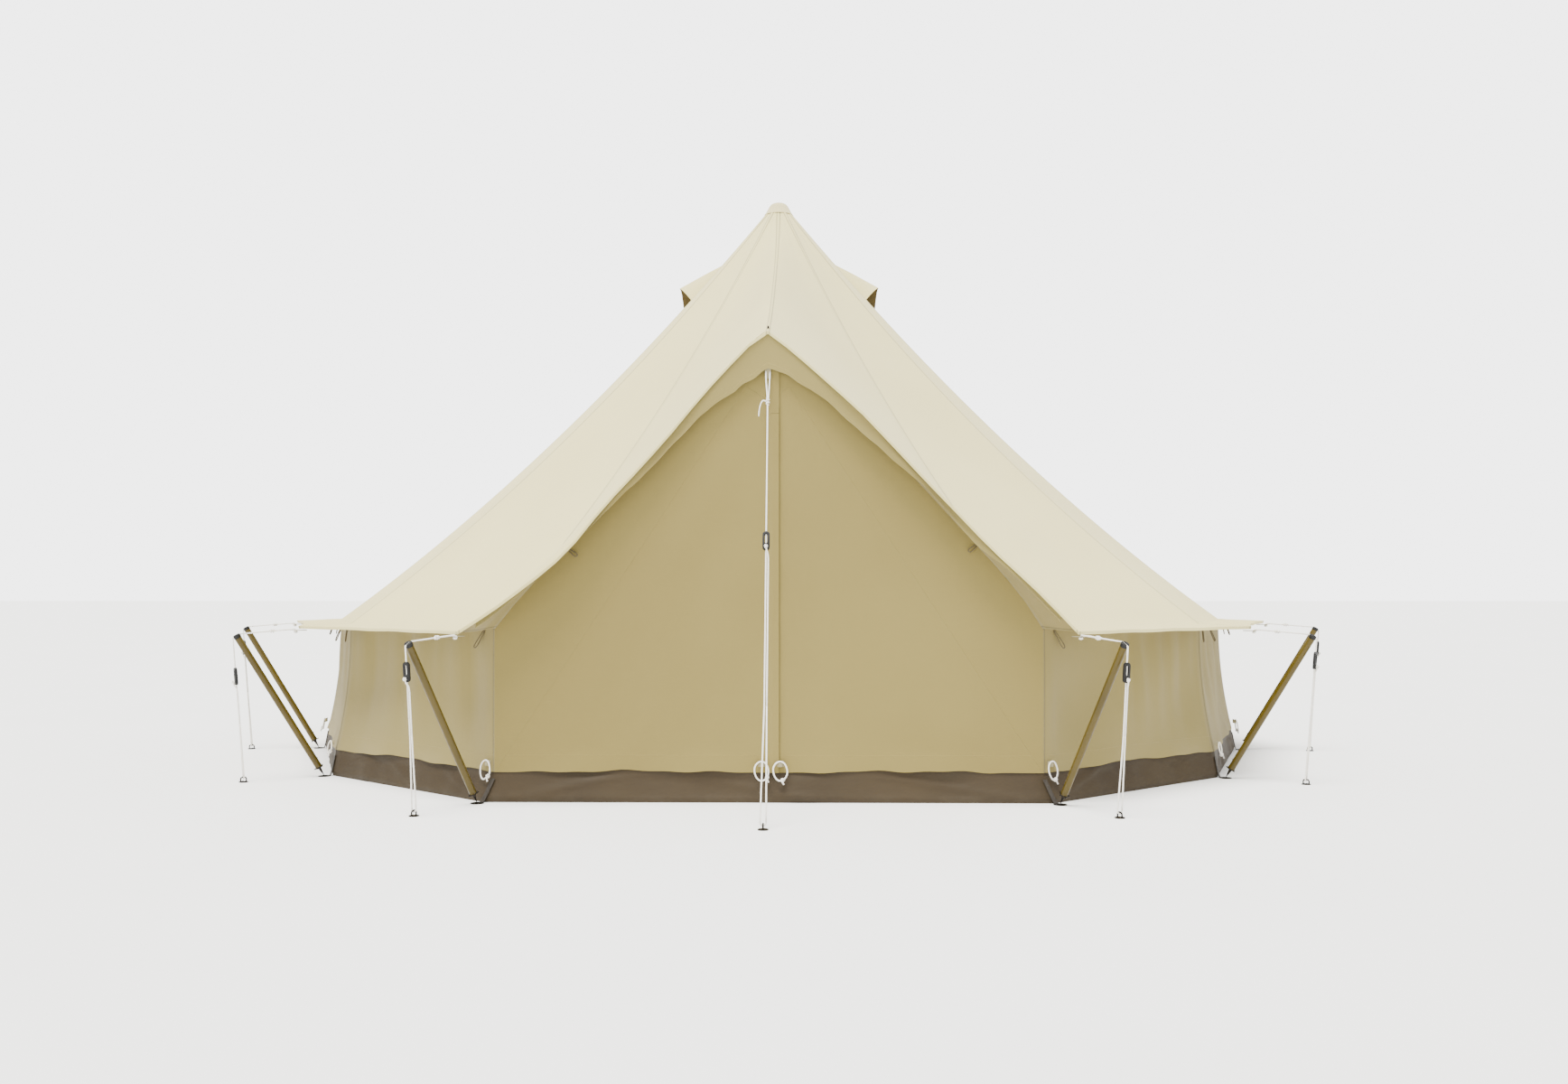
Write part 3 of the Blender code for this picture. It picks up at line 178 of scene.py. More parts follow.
def pick_faces(item: Piece, wanted: Callable[[Face], bool]) -> None:
    """Select faces by a test, ready for edit mode.

    Args:
        item: Mesh object.
        wanted: Test on a face.
    """
    mesh = item.data
    for vert in mesh.vertices:
        vert.select = False
    for edge in mesh.edges:
        edge.select = False
    for face in mesh.polygons:
        face.select = wanted(face)


def edit(item: Piece, mode: str, *steps: Callable[[], object]) -> None:
    """Run edit-mode operators on what is selected in an object's mesh.

    Args:
        item: Mesh object.
        mode: VERT, EDGE or FACE.
        steps: Operators as calls without arguments.
    """
    activate(item)
    bpy.ops.object.mode_set(mode="EDIT")
    bpy.ops.mesh.select_mode(type=mode)
    for step in steps:
        step()
    bpy.ops.object.mode_set(mode="OBJECT")


def pick_uprights(item: Piece, least: float) -> None:
    """Select a block's upright edges, ready for edit mode.

    Args:
        item: Mesh object.
        least: Rise over which an edge counts as upright.
    """
    pick_faces(item, lambda face: False)
    points = item.data.vertices
    for edge in item.data.edges:
        a, b = edge.vertices
        edge.select = abs(points[a].co.z - points[b].co.z) > least


def tidy_shell(item: Piece, gap: float = 1e-5) -> None:
    """Merge points nearer than the gap and turn all faces outwards."""
    edit(item, "VERT", lambda: bpy.ops.mesh.select_all(action="SELECT"),
         lambda: bpy.ops.mesh.remove_doubles(threshold=gap),
         lambda: bpy.ops.mesh.normals_make_consistent(inside=False))


def cylinder(name: str, sides: int, radius: float, depth: float, place: Triple,
             turn: Triple = (0.0, 0.0, 0.0)) -> Piece:
    """Add a cylinder as the start of a piece.

    Args:
        name: Name of the piece.
        sides: Faces round it.
        radius: Its radius.
        depth: Its length along z, before it is turned.
        place: Its middle.
        turn: Turn about each axis, in radians.

    Returns:
        The cylinder.
    """
    deselect()
    bpy.ops.mesh.primitive_cylinder_add(vertices=sides, radius=radius, depth=depth, location=place,
                                        rotation=turn)
    return claim(name)


def block(name: str, size: Triple, place: Triple) -> Piece:
    """Add a block as the start of a piece.

    Args:
        name: Name of the piece.
        size: Its size along each axis.
        place: Its middle.

    Returns:
        The block.
    """
    deselect()
    bpy.ops.mesh.primitive_cube_add(size=1.0, scale=size, location=place)
    return claim(name)


def join(main: Piece, *others: Piece) -> None:
    """Make other pieces part of one piece's mesh.

    Args:
        main: Piece that takes them in.
        others: Pieces that go into it.
    """
    activate(main)
    for item in others:
        item.select_set(True)
    bpy.ops.object.join()


def cut(item: Piece, *tools: Piece) -> None:
    """Cut tools out of a piece, and remove the tools.

    Args:
        item: Piece to cut.
        tools: Closed shapes to take away from it.
    """
    for tool in tools:
        modify(item, "BOOLEAN", operation="DIFFERENCE", solver="EXACT", object=tool)
    discard(*tools)


def soften(item: Piece, angle: float = 35.0) -> None:
    """Shade smooth, and keep edges sharper than an angle in degrees."""
    activate(item)
    bpy.ops.object.shade_smooth_by_angle(angle=math.radians(angle))


def measure(item: Piece, name: str, values: Sequence[float]) -> None:
    """Store one number per point, which the finishes read."""
    layer = item.data.attributes.new(name, "FLOAT", "POINT")
    layer.data.foreach_set("value", list(values))


def panel_at(u: float, count: int, columns: int) -> tuple[int, float]:
    """Find the panel of a grid's column.

    Args:
        u: Share of the way along the grid.
        count: Number of panels.
        columns: Faces across each panel.

    Returns:
        The panel's place in the row, and the share of the way across it.
    """
    column = round(u * count * columns)
    panel = min(column // columns, count - 1)
    return panel, (column - panel * columns) / columns


def sheet_grid(name: str, columns: int, rows: int, place: Place, edge: Edge = Edge.OPEN,
               seam: Callable[[float, float], float] | None = None,
               hem: Callable[[float, float], float] | None = None) -> Piece:
    """Lay a cut sheet of cloth: a grid whose points are moved onto a curved surface.

    Args:
        name: Name of the piece.
        columns: Number of faces across.
        rows: Number of faces from the top down.
        place: Surface as a function of (across, down), both 0 to 1.
        edge: Whether the last column meets the first.
        seam: Distance from the nearest lapped seam at (across, down), in metres.
        hem: Distance from the nearest row of hem stitches, in metres.

    Returns:
        The sheet, one layer thick.
    """
    deselect()
    bpy.ops.mesh.primitive_grid_add(x_subdivisions=columns, y_subdivisions=rows, size=1.0)
    item = bpy.context.object
    item.name = name
    item.data.name = name
    mesh = item.data
    spots = [(vert.co.x + 0.5, 0.5 - vert.co.y) for vert in mesh.vertices]
    measure(item, "seam", [seam(u, v) if seam else FAR for u, v in spots])
    measure(item, "hem", [hem(u, v) if hem else FAR for u, v in spots])
    points = [place(u, v) for u, v in spots]
    for vert, point in zip(mesh.vertices, points):
        vert.co = point
    cloth = mesh.uv_layers[0]
    for loop in mesh.loops:
        cloth.data[loop.index].uv = spots[loop.vertex_index]
    if edge is Edge.RING:
        tidy_shell(item)
    return item


def line_up(item: Piece, centre: Vector, outwards: bool = True) -> None:
    """Turn an open sheet's faces away from a point, or towards it.

    Args:
        item: Sheet of one layer.
        centre: Point that the faces look away from.
        outwards: False turns them towards the point.
    """
    mesh = item.data
    mesh.update()
    votes = sum(face.area * face.normal.dot(face.center - centre) for face in mesh.polygons)
    if (votes < 0) == outwards:
        edit(item, "FACE", lambda: bpy.ops.mesh.select_all(action="SELECT"),
             lambda: bpy.ops.mesh.flip_normals())


def thicken(item: Piece, thickness: float, lining: int = 0) -> None:
    """Give a sheet its thickness on the side away from its faces.

    Args:
        item: Sheet of one layer.
        thickness: Its thickness.
        lining: Number of the material slot for the inner face.
    """
    for _ in range(lining + 1 if lining else 0):
        item.data.materials.append(None)
    modify(item, "SOLIDIFY", thickness=thickness, offset=-1.0, use_even_offset=True, material_offset=lining)


def duplicate(item: Piece, name: str, move: Matrix) -> Piece:
    """Copy a piece with a mesh of its own, moved by a matrix.

    Args:
        item: Pattern piece.
        name: Name of the copy.
        move: Where the copy goes.

    Returns:
        The copy, whose place is in its mesh.
    """
    mesh = item.data.copy()
    mesh.name = name
    mesh.transform(move)
    copy = bpy.data.objects.new(name, mesh)
    bpy.context.collection.objects.link(copy)
    return copy


def discard(*items: Piece) -> None:
    """Remove pattern pieces that were only copied from."""
    for item in items:
        bpy.data.objects.remove(item, do_unlink=True)


def rope_tube(name: str, path: Sequence[Vector], radius: float, sides: int = 12) -> Piece:
    """Skin a rope along a smooth path, with a map that runs along it in metres.

    Args:
        name: Name of the piece.
        path: Points down the middle of the rope.
        radius: Half its thickness.
        sides: Faces round it.

    Returns:
        The rope.
    """
    verts: list[Vector] = []
    across = Vector((0.31, 0.87, 0.39)).normalized()
    run = [0.0]
    for a, b in zip(path, path[1:]):
        run.append(run[-1] + (b - a).length)
    for k, point in enumerate(path):
        ahead = (path[min(k + 1, len(path) - 1)] - path[max(k - 1, 0)]).normalized()
        across = (across - across.dot(ahead) * ahead).normalized()
        up = ahead.cross(across)
        for j in range(sides):
            turn = 2 * math.pi * j / sides
            verts.append(point + radius * (math.cos(turn) * across + math.sin(turn) * up))
    faces = [(k * sides + j, k * sides + (j + 1) % sides, (k + 1) * sides + (j + 1) % sides,
              (k + 1) * sides + j) for k in range(len(path) - 1) for j in range(sides)]
    last = (len(path) - 1) * sides
    faces += [tuple(reversed(range(sides))), tuple(last + j for j in range(sides))]
    mesh = bpy.data.meshes.new(name)
    mesh.from_pydata(verts, [], faces)
    layer = mesh.uv_layers.new(name="UVMap")
    for face in mesh.polygons:
        spots = [(loop, mesh.loops[loop].vertex_index) for loop in face.loop_indices]
        seam = any(v % sides == 0 for _, v in spots) and any(v % sides == sides - 1 for _, v in spots)
        for loop, v in spots:
            round_ = v % sides / sides
            layer.data[loop].uv = (1.0 if seam and v % sides == 0 else round_, run[v // sides])
    mesh.shade_smooth()
    item = bpy.data.objects.new(name, mesh)
    bpy.context.collection.objects.link(item)
    return item


def curve_through(points: Sequence[Vector], steps: int = 6) -> list[Vector]:
    """Round a chain of points into a smooth line through them.

    Args:
        points: Points that the line passes.
        steps: Stretches between two points.

    Returns:
        The finer chain.
    """
    line = []
    for k in range(len(points) - 1):
        p0, p1 = points[max(k - 1, 0)], points[k]
        p2, p3 = points[k + 1], points[min(k + 2, len(points) - 1)]
        for n in range(steps):
            t = n / steps
            line.append(0.5 * (2 * p1 + (p2 - p0) * t + (2 * p0 - 5 * p1 + 4 * p2 - p3) * t * t
                               + (3 * p1 - p0 - 3 * p2 + p3) * t ** 3))
    return [*line, points[-1].copy()]


def span(start: Vector, end: Vector, pieces: int) -> list[Vector]:
    """Evenly spaced points from start to end, both included."""
    return [start.lerp(end, k / pieces) for k in range(pieces + 1)]


def settle(item: Piece, finish: "Finish", slot: str, body: str | None = None,
           lining: "Finish | None" = None) -> Piece:
    """Dress a finished piece and let it ride on a body.

    Args:
        item: Finished piece.
        finish: Its finish.
        slot: Material slot of the record that it stands for; not used.
        body: Body that it rides on, or None where it blends between two.
        lining: Finish of its inner face, where that differs.

    Returns:
        The same piece.
    """
    inner = [face.material_index for face in item.data.polygons]
    item.data.materials.clear()
    item.data.materials.append(finish.material())
    if lining is not None:
        item.data.materials.append(lining.material())
        item.data.polygons.foreach_set("material_index", inner)
    if body is not None:
        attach(item, str(body.value if isinstance(body, Enum) else body))
    return item


# Finishes
class Recipe:
    """A material under construction: nodes that are added and joined one after another."""

    def __init__(self, name: str) -> None:
        """Start a material with an empty Principled shader."""
        self.material = bpy.data.materials.new(name)
        self.material.use_nodes = True
        self.tree = self.material.node_tree
        self.shader = self.tree.nodes["Principled BSDF"]
        coordinates = self.tree.nodes.new("ShaderNodeTexCoord")
        self.own = coordinates.outputs["Object"]
        self.map = coordinates.outputs["UV"]

    def plug(self, value: object, socket: Socket) -> None:
        """Feed a socket from another socket, or set it to a plain value.

        Args:
            value: Another socket, a number, a vector or a colour.
            socket: Socket to feed.
        """
        if isinstance(value, Socket):
            self.tree.links.new(value, socket)
        else:
            socket.default_value = (*value, 1.0) if socket.type == "RGBA" else value

    def add(self, kind: str, values: dict[int | str, object], output: int | str = 0,
            **settings: str) -> Socket:
        """Add a node and feed its sockets.

        Args:
            kind: End of the node type's name.
            values: What its sockets get, by their number or name.
            output: Socket that holds the result.
            settings: The node's own settings.

        Returns:
            The result's socket.
        """
        node = self.tree.nodes.new(f"ShaderNode{kind}")
        for key, setting in settings.items():
            setattr(node, key, setting)
        for key, value in values.items():
            self.plug(value, node.inputs[key])
        return node.outputs[output]

    def set(self, **values: object) -> None:
        """Feed the shader's own sockets, with _ for a space in their names."""
        for key, value in values.items():
            self.plug(value, self.shader.inputs[key.replace("_", " ")])

    def math(self, operation: str, a: object, b: object = 0.0) -> Socket:
        """Add one arithmetic step on two values."""
        return self.add("Math", {0: a, 1: b}, operation=operation)

    def ramp(self, value: object, low: float, high: float, start: float = 0.0, end: float = 1.0) -> Socket:
        """Softly map the stretch low to high of a value to start to end."""
        return self.add("MapRange", {0: value, 1: low, 2: high, 3: start, 4: end},
                        interpolation_type="SMOOTHSTEP")

    def mix(self, share: object, a: object, b: object) -> Socket:
        """Blend colour a into colour b by a share of 0 to 1."""
        return self.add("Mix", {0: share, 6: a, 7: b}, 2, data_type="RGBA")

    def scaled(self, vector: object, scale: Triple, turn: Triple = (0.0, 0.0, 0.0)) -> Socket:
        """Stretch a pattern's coordinates along each axis, and turn them, in radians."""
        return self.add("Mapping", {"Vector": vector, "Scale": scale, "Rotation": turn})

    def noise(self, scale: float, detail: float = 3.0, roughness: float = 0.5,
              vector: object | None = None) -> Socket:
        """Cloudy pattern of 0 to 1, with so many clouds per metre."""
        return self.add("TexNoise", {"Vector": vector or self.own, "Scale": scale, "Detail": detail,
                                     "Roughness": roughness})

    def bands(self, scale: float, axis: str, vector: object | None = None) -> Socket:
        """Even ribs of 0 to 1 across an axis, 3.18 times the scale to a metre."""
        return self.add("TexWave", {"Vector": vector or self.own, "Scale": scale}, "Fac",
                        wave_type="BANDS", bands_direction=axis)

    def attribute(self, name: str) -> Socket:
        """Read a measure that the piece's mesh carries."""
        return self.add("Attribute", {}, "Fac", attribute_name=name)

    def bump(self, height: object, distance: float, strength: float = 1.0) -> None:
        """Add relief on top of what the shader already has.

        Args:
            height: Height pattern of 0 to 1.
            distance: Height of 1, in metres.
            strength: How much of it shows.
        """
        socket = self.shader.inputs["Normal"]
        below = {"Normal": socket.links[0].from_socket} if socket.is_linked else {}
        values = {"Height": height, "Distance": distance, "Strength": strength, **below}
        self.tree.links.new(self.add("Bump", values), socket)


@dataclass(frozen=True)
class Finish:
    """Base of all finishes: a name, and a material that is made once and shared."""

    name: str

    def material(self) -> bpy.types.Material:
        """Give the finish's material, and make it at the first call.

        Returns:
            The material.
        """
        made = bpy.data.materials.get(self.name)
        if made is None:
            recipe = Recipe(self.name)
            self.brew(recipe)
            made = recipe.material
        return made

    def brew(self, recipe: Recipe) -> None:
        """Add the finish's nodes to an empty material."""
        raise NotImplementedError


@dataclass(frozen=True)
class CanvasFinish(Finish):
    """Heavy cotton canvas: woven threads, lapped and stitched seams with painted shade along them, mottled
    proofing.
    """

    light: Colour = (0.6, 0.5, 0.4)
    dark: Colour = (0.5, 0.4, 0.3)
    thread: float = 0.0012
    lap: float = 0.009
    stitch: float = 0.0045
    slack: float = 0.004

    def brew(self, recipe: Recipe) -> None:
        """Add mottling, seams with stitches and painted shade along their laps, the weave and soft creases.

        Args:
            recipe: Material under construction.
        """
        clouds = recipe.noise(0.8, 3.0, 0.55)
        specks = recipe.noise(160.0, 2.0, 0.6)
        ground = recipe.mix(recipe.ramp(clouds, 0.30, 0.72), self.dark, self.light)
        slubs = recipe.noise(1.0, 2.0, 0.5, recipe.scaled(recipe.own, (40.0, 40.0, 420.0)))
        worn = recipe.mix(recipe.ramp(slubs, 0.58, 0.78, 0.0, 0.22), ground, shade(self.light, 1.16))
        flecked = recipe.mix(recipe.ramp(specks, 0.62, 0.80, 0.0, 0.25), worn, shade(self.dark, 0.80))
        seam = recipe.attribute("seam")
        hem = recipe.attribute("hem")
        lap = recipe.ramp(seam, self.lap - 0.0006, self.lap + 0.0006, 1.0, 0.0)
        edge = recipe.math("ABSOLUTE", recipe.math("SUBTRACT", seam, self.lap))
        fold = recipe.ramp(edge, 0.001, 0.006, 1.0, 0.0)
        inner = recipe.math("ABSOLUTE", recipe.math("SUBTRACT", seam, self.lap * 0.72))
        row = recipe.ramp(inner, 0.0004, 0.0011, 1.0, 0.0)
        hem_row = recipe.ramp(recipe.math("ABSOLUTE", hem), 0.0005, 0.0014, 1.0, 0.0)
        rows = recipe.math("MAXIMUM", row, hem_row)
        dashes = recipe.noise(1.0 / self.stitch, 1.0, 0.4)
        thread = recipe.math("MULTIPLY", rows, recipe.ramp(dashes, 0.40, 0.60, 0.35, 1.0))
        # Painted shade: the lap bands are darkened a little and the lines along their edges much more, for
        # the shadow side of the raised seams.
        lapped = recipe.mix(recipe.math("MULTIPLY", lap, 0.5), flecked, shade(self.light, 0.90))
        shaded = recipe.mix(recipe.math("MULTIPLY", fold, 0.7), lapped, shade(self.dark, 0.48))
        threaded = recipe.mix(recipe.math("MULTIPLY", thread, 0.45), shaded, shade(self.light, 1.3))
        recipe.set(Base_Color=threaded)
        recipe.set(Roughness=recipe.ramp(clouds, 0.2, 0.8, 0.86, 0.96))
        recipe.set(Specular_IOR_Level=0.22, Sheen_Weight=0.18, Sheen_Roughness=0.6)
        period = 0.314 / self.thread
        weave = recipe.math("MULTIPLY", recipe.bands(period, "Z"),
                            recipe.math("MAXIMUM", recipe.bands(period, "X"), recipe.bands(period, "Y")))
        creases = recipe.noise(3.4, 4.0, 0.55, recipe.scaled(recipe.own, (1.0, 1.0, 0.55)))
        recipe.bump(creases, self.slack, 0.55)
        recipe.bump(recipe.noise(28.0, 3.0, 0.6), 0.0006, 0.5)
        recipe.bump(lap, 0.0012, 0.9)
        recipe.bump(thread, 0.0006, 0.9)
        recipe.bump(weave, 0.00016, 0.7)


@dataclass(frozen=True)
class GroundclothFinish(Finish):
    """Coated groundsheet cloth: brown, slightly glossy, with creases and dust along its foot."""

    colour: Colour = (0.2, 0.15, 0.1)
    dust: Colour = (0.3, 0.27, 0.22)

    def brew(self, recipe: Recipe) -> None:
        """Add creases, dust near the ground and the coated cloth's grain.

        Args:
            recipe: Material under construction.
        """
        clouds = recipe.noise(2.2, 5.0, 0.6)
        low = recipe.ramp(recipe.add("SeparateXYZ", {0: recipe.own}, 2), 0.0, 0.06, 1.0, 0.0)
        dusty = recipe.math("MULTIPLY", low, recipe.ramp(recipe.noise(14.0, 4.0, 0.65), 0.35, 0.75, 0.1, 0.8))
        base = recipe.mix(recipe.ramp(clouds, 0.3, 0.7), self.colour, shade(self.colour, 1.25))
        hem = recipe.ramp(recipe.math("ABSOLUTE", recipe.attribute("hem")), 0.0006, 0.0018, 0.7, 0.0)
        lined = recipe.mix(hem, base, shade(self.colour, 0.45))
        recipe.set(Base_Color=recipe.mix(dusty, lined, self.dust))
        recipe.set(Roughness=recipe.ramp(clouds, 0.2, 0.8, 0.55, 0.72))
        recipe.set(Specular_IOR_Level=0.25)
        recipe.bump(recipe.noise(5.0, 4.0, 0.6, recipe.scaled(recipe.own, (1.0, 1.0, 2.4))), 0.008, 0.55)
        recipe.bump(recipe.noise(420.0, 2.0, 0.5), 0.0003, 0.5)


@dataclass(frozen=True)
class RopeFinish(Finish):
    """Braided off-white guy rope, slightly soiled, with a hairy surface."""

    colour: Colour = (0.8, 0.78, 0.7)
    tracer: Colour = (0.5, 0.5, 0.48)
    braid: float = 0.006

    def brew(self, recipe: Recipe) -> None:
        """Add the braid's crossing strands, which follow the rope's own map.

        Args:
            recipe: Material under construction.
        """
        pitch = 1.0 / self.braid
        right = recipe.bands(0.314, "X", recipe.scaled(recipe.map, (4.0, 4.0 * pitch, 1.0), (0.0, 0.0, 0.6)))
        left = recipe.bands(0.314, "X", recipe.scaled(recipe.map, (4.0, 4.0 * pitch, 1.0), (0.0, 0.0, -0.6)))
        strands = recipe.math("MAXIMUM", right, left)
        soil = recipe.noise(22.0, 3.0, 0.6)
        base = recipe.mix(recipe.ramp(strands, 0.3, 0.9), shade(self.colour, 0.72), self.colour)
        recipe.set(Base_Color=recipe.mix(recipe.ramp(soil, 0.55, 0.8, 0.0, 0.35), base, self.tracer))
        recipe.set(Roughness=recipe.ramp(soil, 0.2, 0.8, 0.78, 0.92))
        recipe.set(Sheen_Weight=0.25, Sheen_Roughness=0.5)
        recipe.bump(strands, 0.0007, 0.9)
        recipe.bump(recipe.noise(900.0, 2.0, 0.5), 0.0002, 0.5)


@dataclass(frozen=True)
class WebbingFinish(Finish):
    """Woven tape: ribs across it and light wear."""

    colour: Colour = (0.6, 0.55, 0.42)
    rib: float = 0.0016

    def brew(self, recipe: Recipe) -> None:
        """Add ribs in three directions, so that a tape shows them whichever way it runs.

        Args:
            recipe: Material under construction.
        """
        clouds = recipe.noise(60.0, 3.0, 0.6)
        period = 0.314 / self.rib
        ribs = recipe.math("MAXIMUM", recipe.bands(period, "DIAGONAL"), recipe.bands(period, "Z"))
        base = recipe.mix(recipe.ramp(ribs, 0.2, 0.9), shade(self.colour, 0.74), self.colour)
        worn = recipe.mix(recipe.ramp(clouds, 0.5, 0.8, 0.0, 0.3), base, shade(self.colour, 0.6))
        recipe.set(Base_Color=worn)
        recipe.set(Roughness=recipe.ramp(clouds, 0.2, 0.8, 0.74, 0.9))
        recipe.set(Sheen_Weight=0.15)
        recipe.bump(ribs, 0.0004, 0.8)


@dataclass(frozen=True)
class LacquerFinish(Finish):
    """Lacquered steel tube: slightly orange-peeled, with scratches and rubbed spots."""

    colour: Colour = (0.25, 0.21, 0.06)
    bare: Colour = (0.42, 0.40, 0.34)

    def brew(self, recipe: Recipe) -> None:
        """Add scratches, rubbed spots and the lacquer's gloss.

        Args:
            recipe: Material under construction.
        """
        scratches = recipe.noise(1.0, 3.0, 0.7, recipe.scaled(recipe.own, (700.0, 700.0, 22.0)))
        rubbed = recipe.math("MULTIPLY", recipe.ramp(scratches, 0.66, 0.74),
                             recipe.ramp(recipe.noise(9.0, 3.0, 0.6), 0.52, 0.7))
        base = recipe.mix(recipe.ramp(recipe.noise(6.0, 3.0, 0.5), 0.3, 0.7),
                          shade(self.colour, 0.86), shade(self.colour, 1.12))
        recipe.set(Base_Color=recipe.mix(rubbed, base, self.bare))
        recipe.set(Roughness=recipe.ramp(recipe.noise(40.0, 3.0, 0.6), 0.3, 0.7, 0.30, 0.46))
        recipe.set(Specular_IOR_Level=0.3, Coat_Weight=0.05, Coat_Roughness=0.35)
        recipe.bump(recipe.noise(260.0, 2.0, 0.5), 0.0002, 0.35)


@dataclass(frozen=True)
class HardFinish(Finish):
    """Small hard fittings: moulded plastic, rubber, cast or bent metal."""

    colour: Colour = (0.03, 0.03, 0.03)
    metal: float = 0.0
    rough: float = 0.45
    grain: float = 300.0
    relief: float = 0.0002

    def brew(self, recipe: Recipe) -> None:
        """Add a fine moulded or cast grain, dust in patches and paler worn spots.

        Args:
            recipe: Material under construction.
        """
        grain = recipe.noise(self.grain, 3.0, 0.6)
        patches = recipe.noise(35.0, 4.0, 0.6)
        base = recipe.mix(recipe.ramp(patches, 0.35, 0.75), self.colour, shade(self.colour, 1.5, 0.002))
        recipe.set(Base_Color=recipe.mix(recipe.ramp(grain, 0.66, 0.8, 0.0, 0.3), base,
                                 shade(self.colour, 2.0, 0.006)))
        recipe.set(Roughness=recipe.ramp(patches, 0.2, 0.8, self.rough - 0.08, self.rough + 0.12))
        recipe.set(Metallic=self.metal, Specular_IOR_Level=0.3)
        recipe.bump(grain, self.relief, 0.5)


@dataclass(frozen=True)
class NetFinish(Finish):
    """Fine insect net: dark threads in a square mesh, drawn in relief on a dark ground."""

    colour: Colour = (0.02, 0.02, 0.018)
    pitch: float = 0.002

    def brew(self, recipe: Recipe) -> None:
        """Add crossing threads.

        Args:
            recipe: Material under construction.
        """
        period = 0.314 / self.pitch
        threads = recipe.math("MAXIMUM", recipe.bands(period, "X"), recipe.bands(period, "Y"))
        recipe.set(Base_Color=recipe.mix(recipe.ramp(threads, 0.5, 0.9), shade(self.colour, 0.3),
                                 shade(self.colour, 3.0)))
        recipe.set(Roughness=recipe.ramp(threads, 0.2, 0.9, 0.9, 0.6))
        recipe.bump(threads, 0.0004, 0.8)


@dataclass(frozen=True)
class PaintFinish(Finish):
    """Plain matt studio floor."""

    colour: Colour = (0.9, 0.9, 0.9)

    def brew(self, recipe: Recipe) -> None:
        """Add a barely visible unevenness."""
        recipe.set(Base_Color=recipe.mix(recipe.ramp(recipe.noise(0.7, 4.0, 0.5), 0.3, 0.7), self.colour,
                                 shade(self.colour, 0.985)))
        recipe.set(Roughness=0.9, Specular_IOR_Level=0.0)


ROOF = CanvasFinish("roof canvas", light=tone(213, 202, 142), dark=tone(206, 194, 134))
# Painted shade: the walls' canvas is a darker copy of the roof's, for cloth that hangs out of the light from
# above. The door arch, door leaves, storm flap, upper strip and the roof's inner face use it too.
SHADED_CANVAS = CanvasFinish("shaded wall canvas", light=tone(131, 117, 63), dark=tone(125, 111, 58), slack=0.006)
# Painted shade: the valance's canvas is a darker copy of the roof's, for the cloth under the hood's edge.
SHADED_VALANCE = CanvasFinish("shaded valance canvas", light=tone(135, 122, 69), dark=tone(128, 115, 63))
LINING = CanvasFinish("shaded lining", light=tone(92, 77, 42), dark=tone(86, 71, 37))
CAP = CanvasFinish("crown cap", light=tone(206, 195, 145), dark=tone(196, 183, 132), thread=0.002)
GROUNDCLOTH = GroundclothFinish("groundsheet cloth", colour=tone(52, 42, 26), dust=tone(62, 53, 38))
ROPE = RopeFinish("guy rope", colour=tone(250, 246, 236), tracer=tone(214, 208, 194))
LOOP_TAPE = WebbingFinish("toggle loop tape", colour=tone(96, 84, 54))
TAPE = WebbingFinish("beige tape", colour=tone(150, 141, 106))
DARK_TAPE = WebbingFinish("dark tape", colour=tone(40, 32, 20))
OLIVE = LacquerFinish("olive lacquer", colour=tone(72, 59, 6))
PLASTIC = HardFinish("black plastic", colour=tone(14, 14, 14), rough=0.5)
RUBBER = HardFinish("black rubber", colour=tone(14, 13, 12), rough=0.8, grain=500.0)
STEEL = HardFinish("zinc-plated steel", colour=tone(128, 126, 122), metal=0.9, rough=0.38)
DARK_STEEL = HardFinish("blackened steel", colour=tone(34, 30, 26), metal=0.7, rough=0.5)
ZIP = HardFinish("zip tape and teeth", colour=tone(44, 38, 26), metal=0.2, rough=0.5, grain=700.0)
NET = NetFinish("insect net")
FLOOR = PaintFinish("studio floor", colour=tone(244, 244, 242))


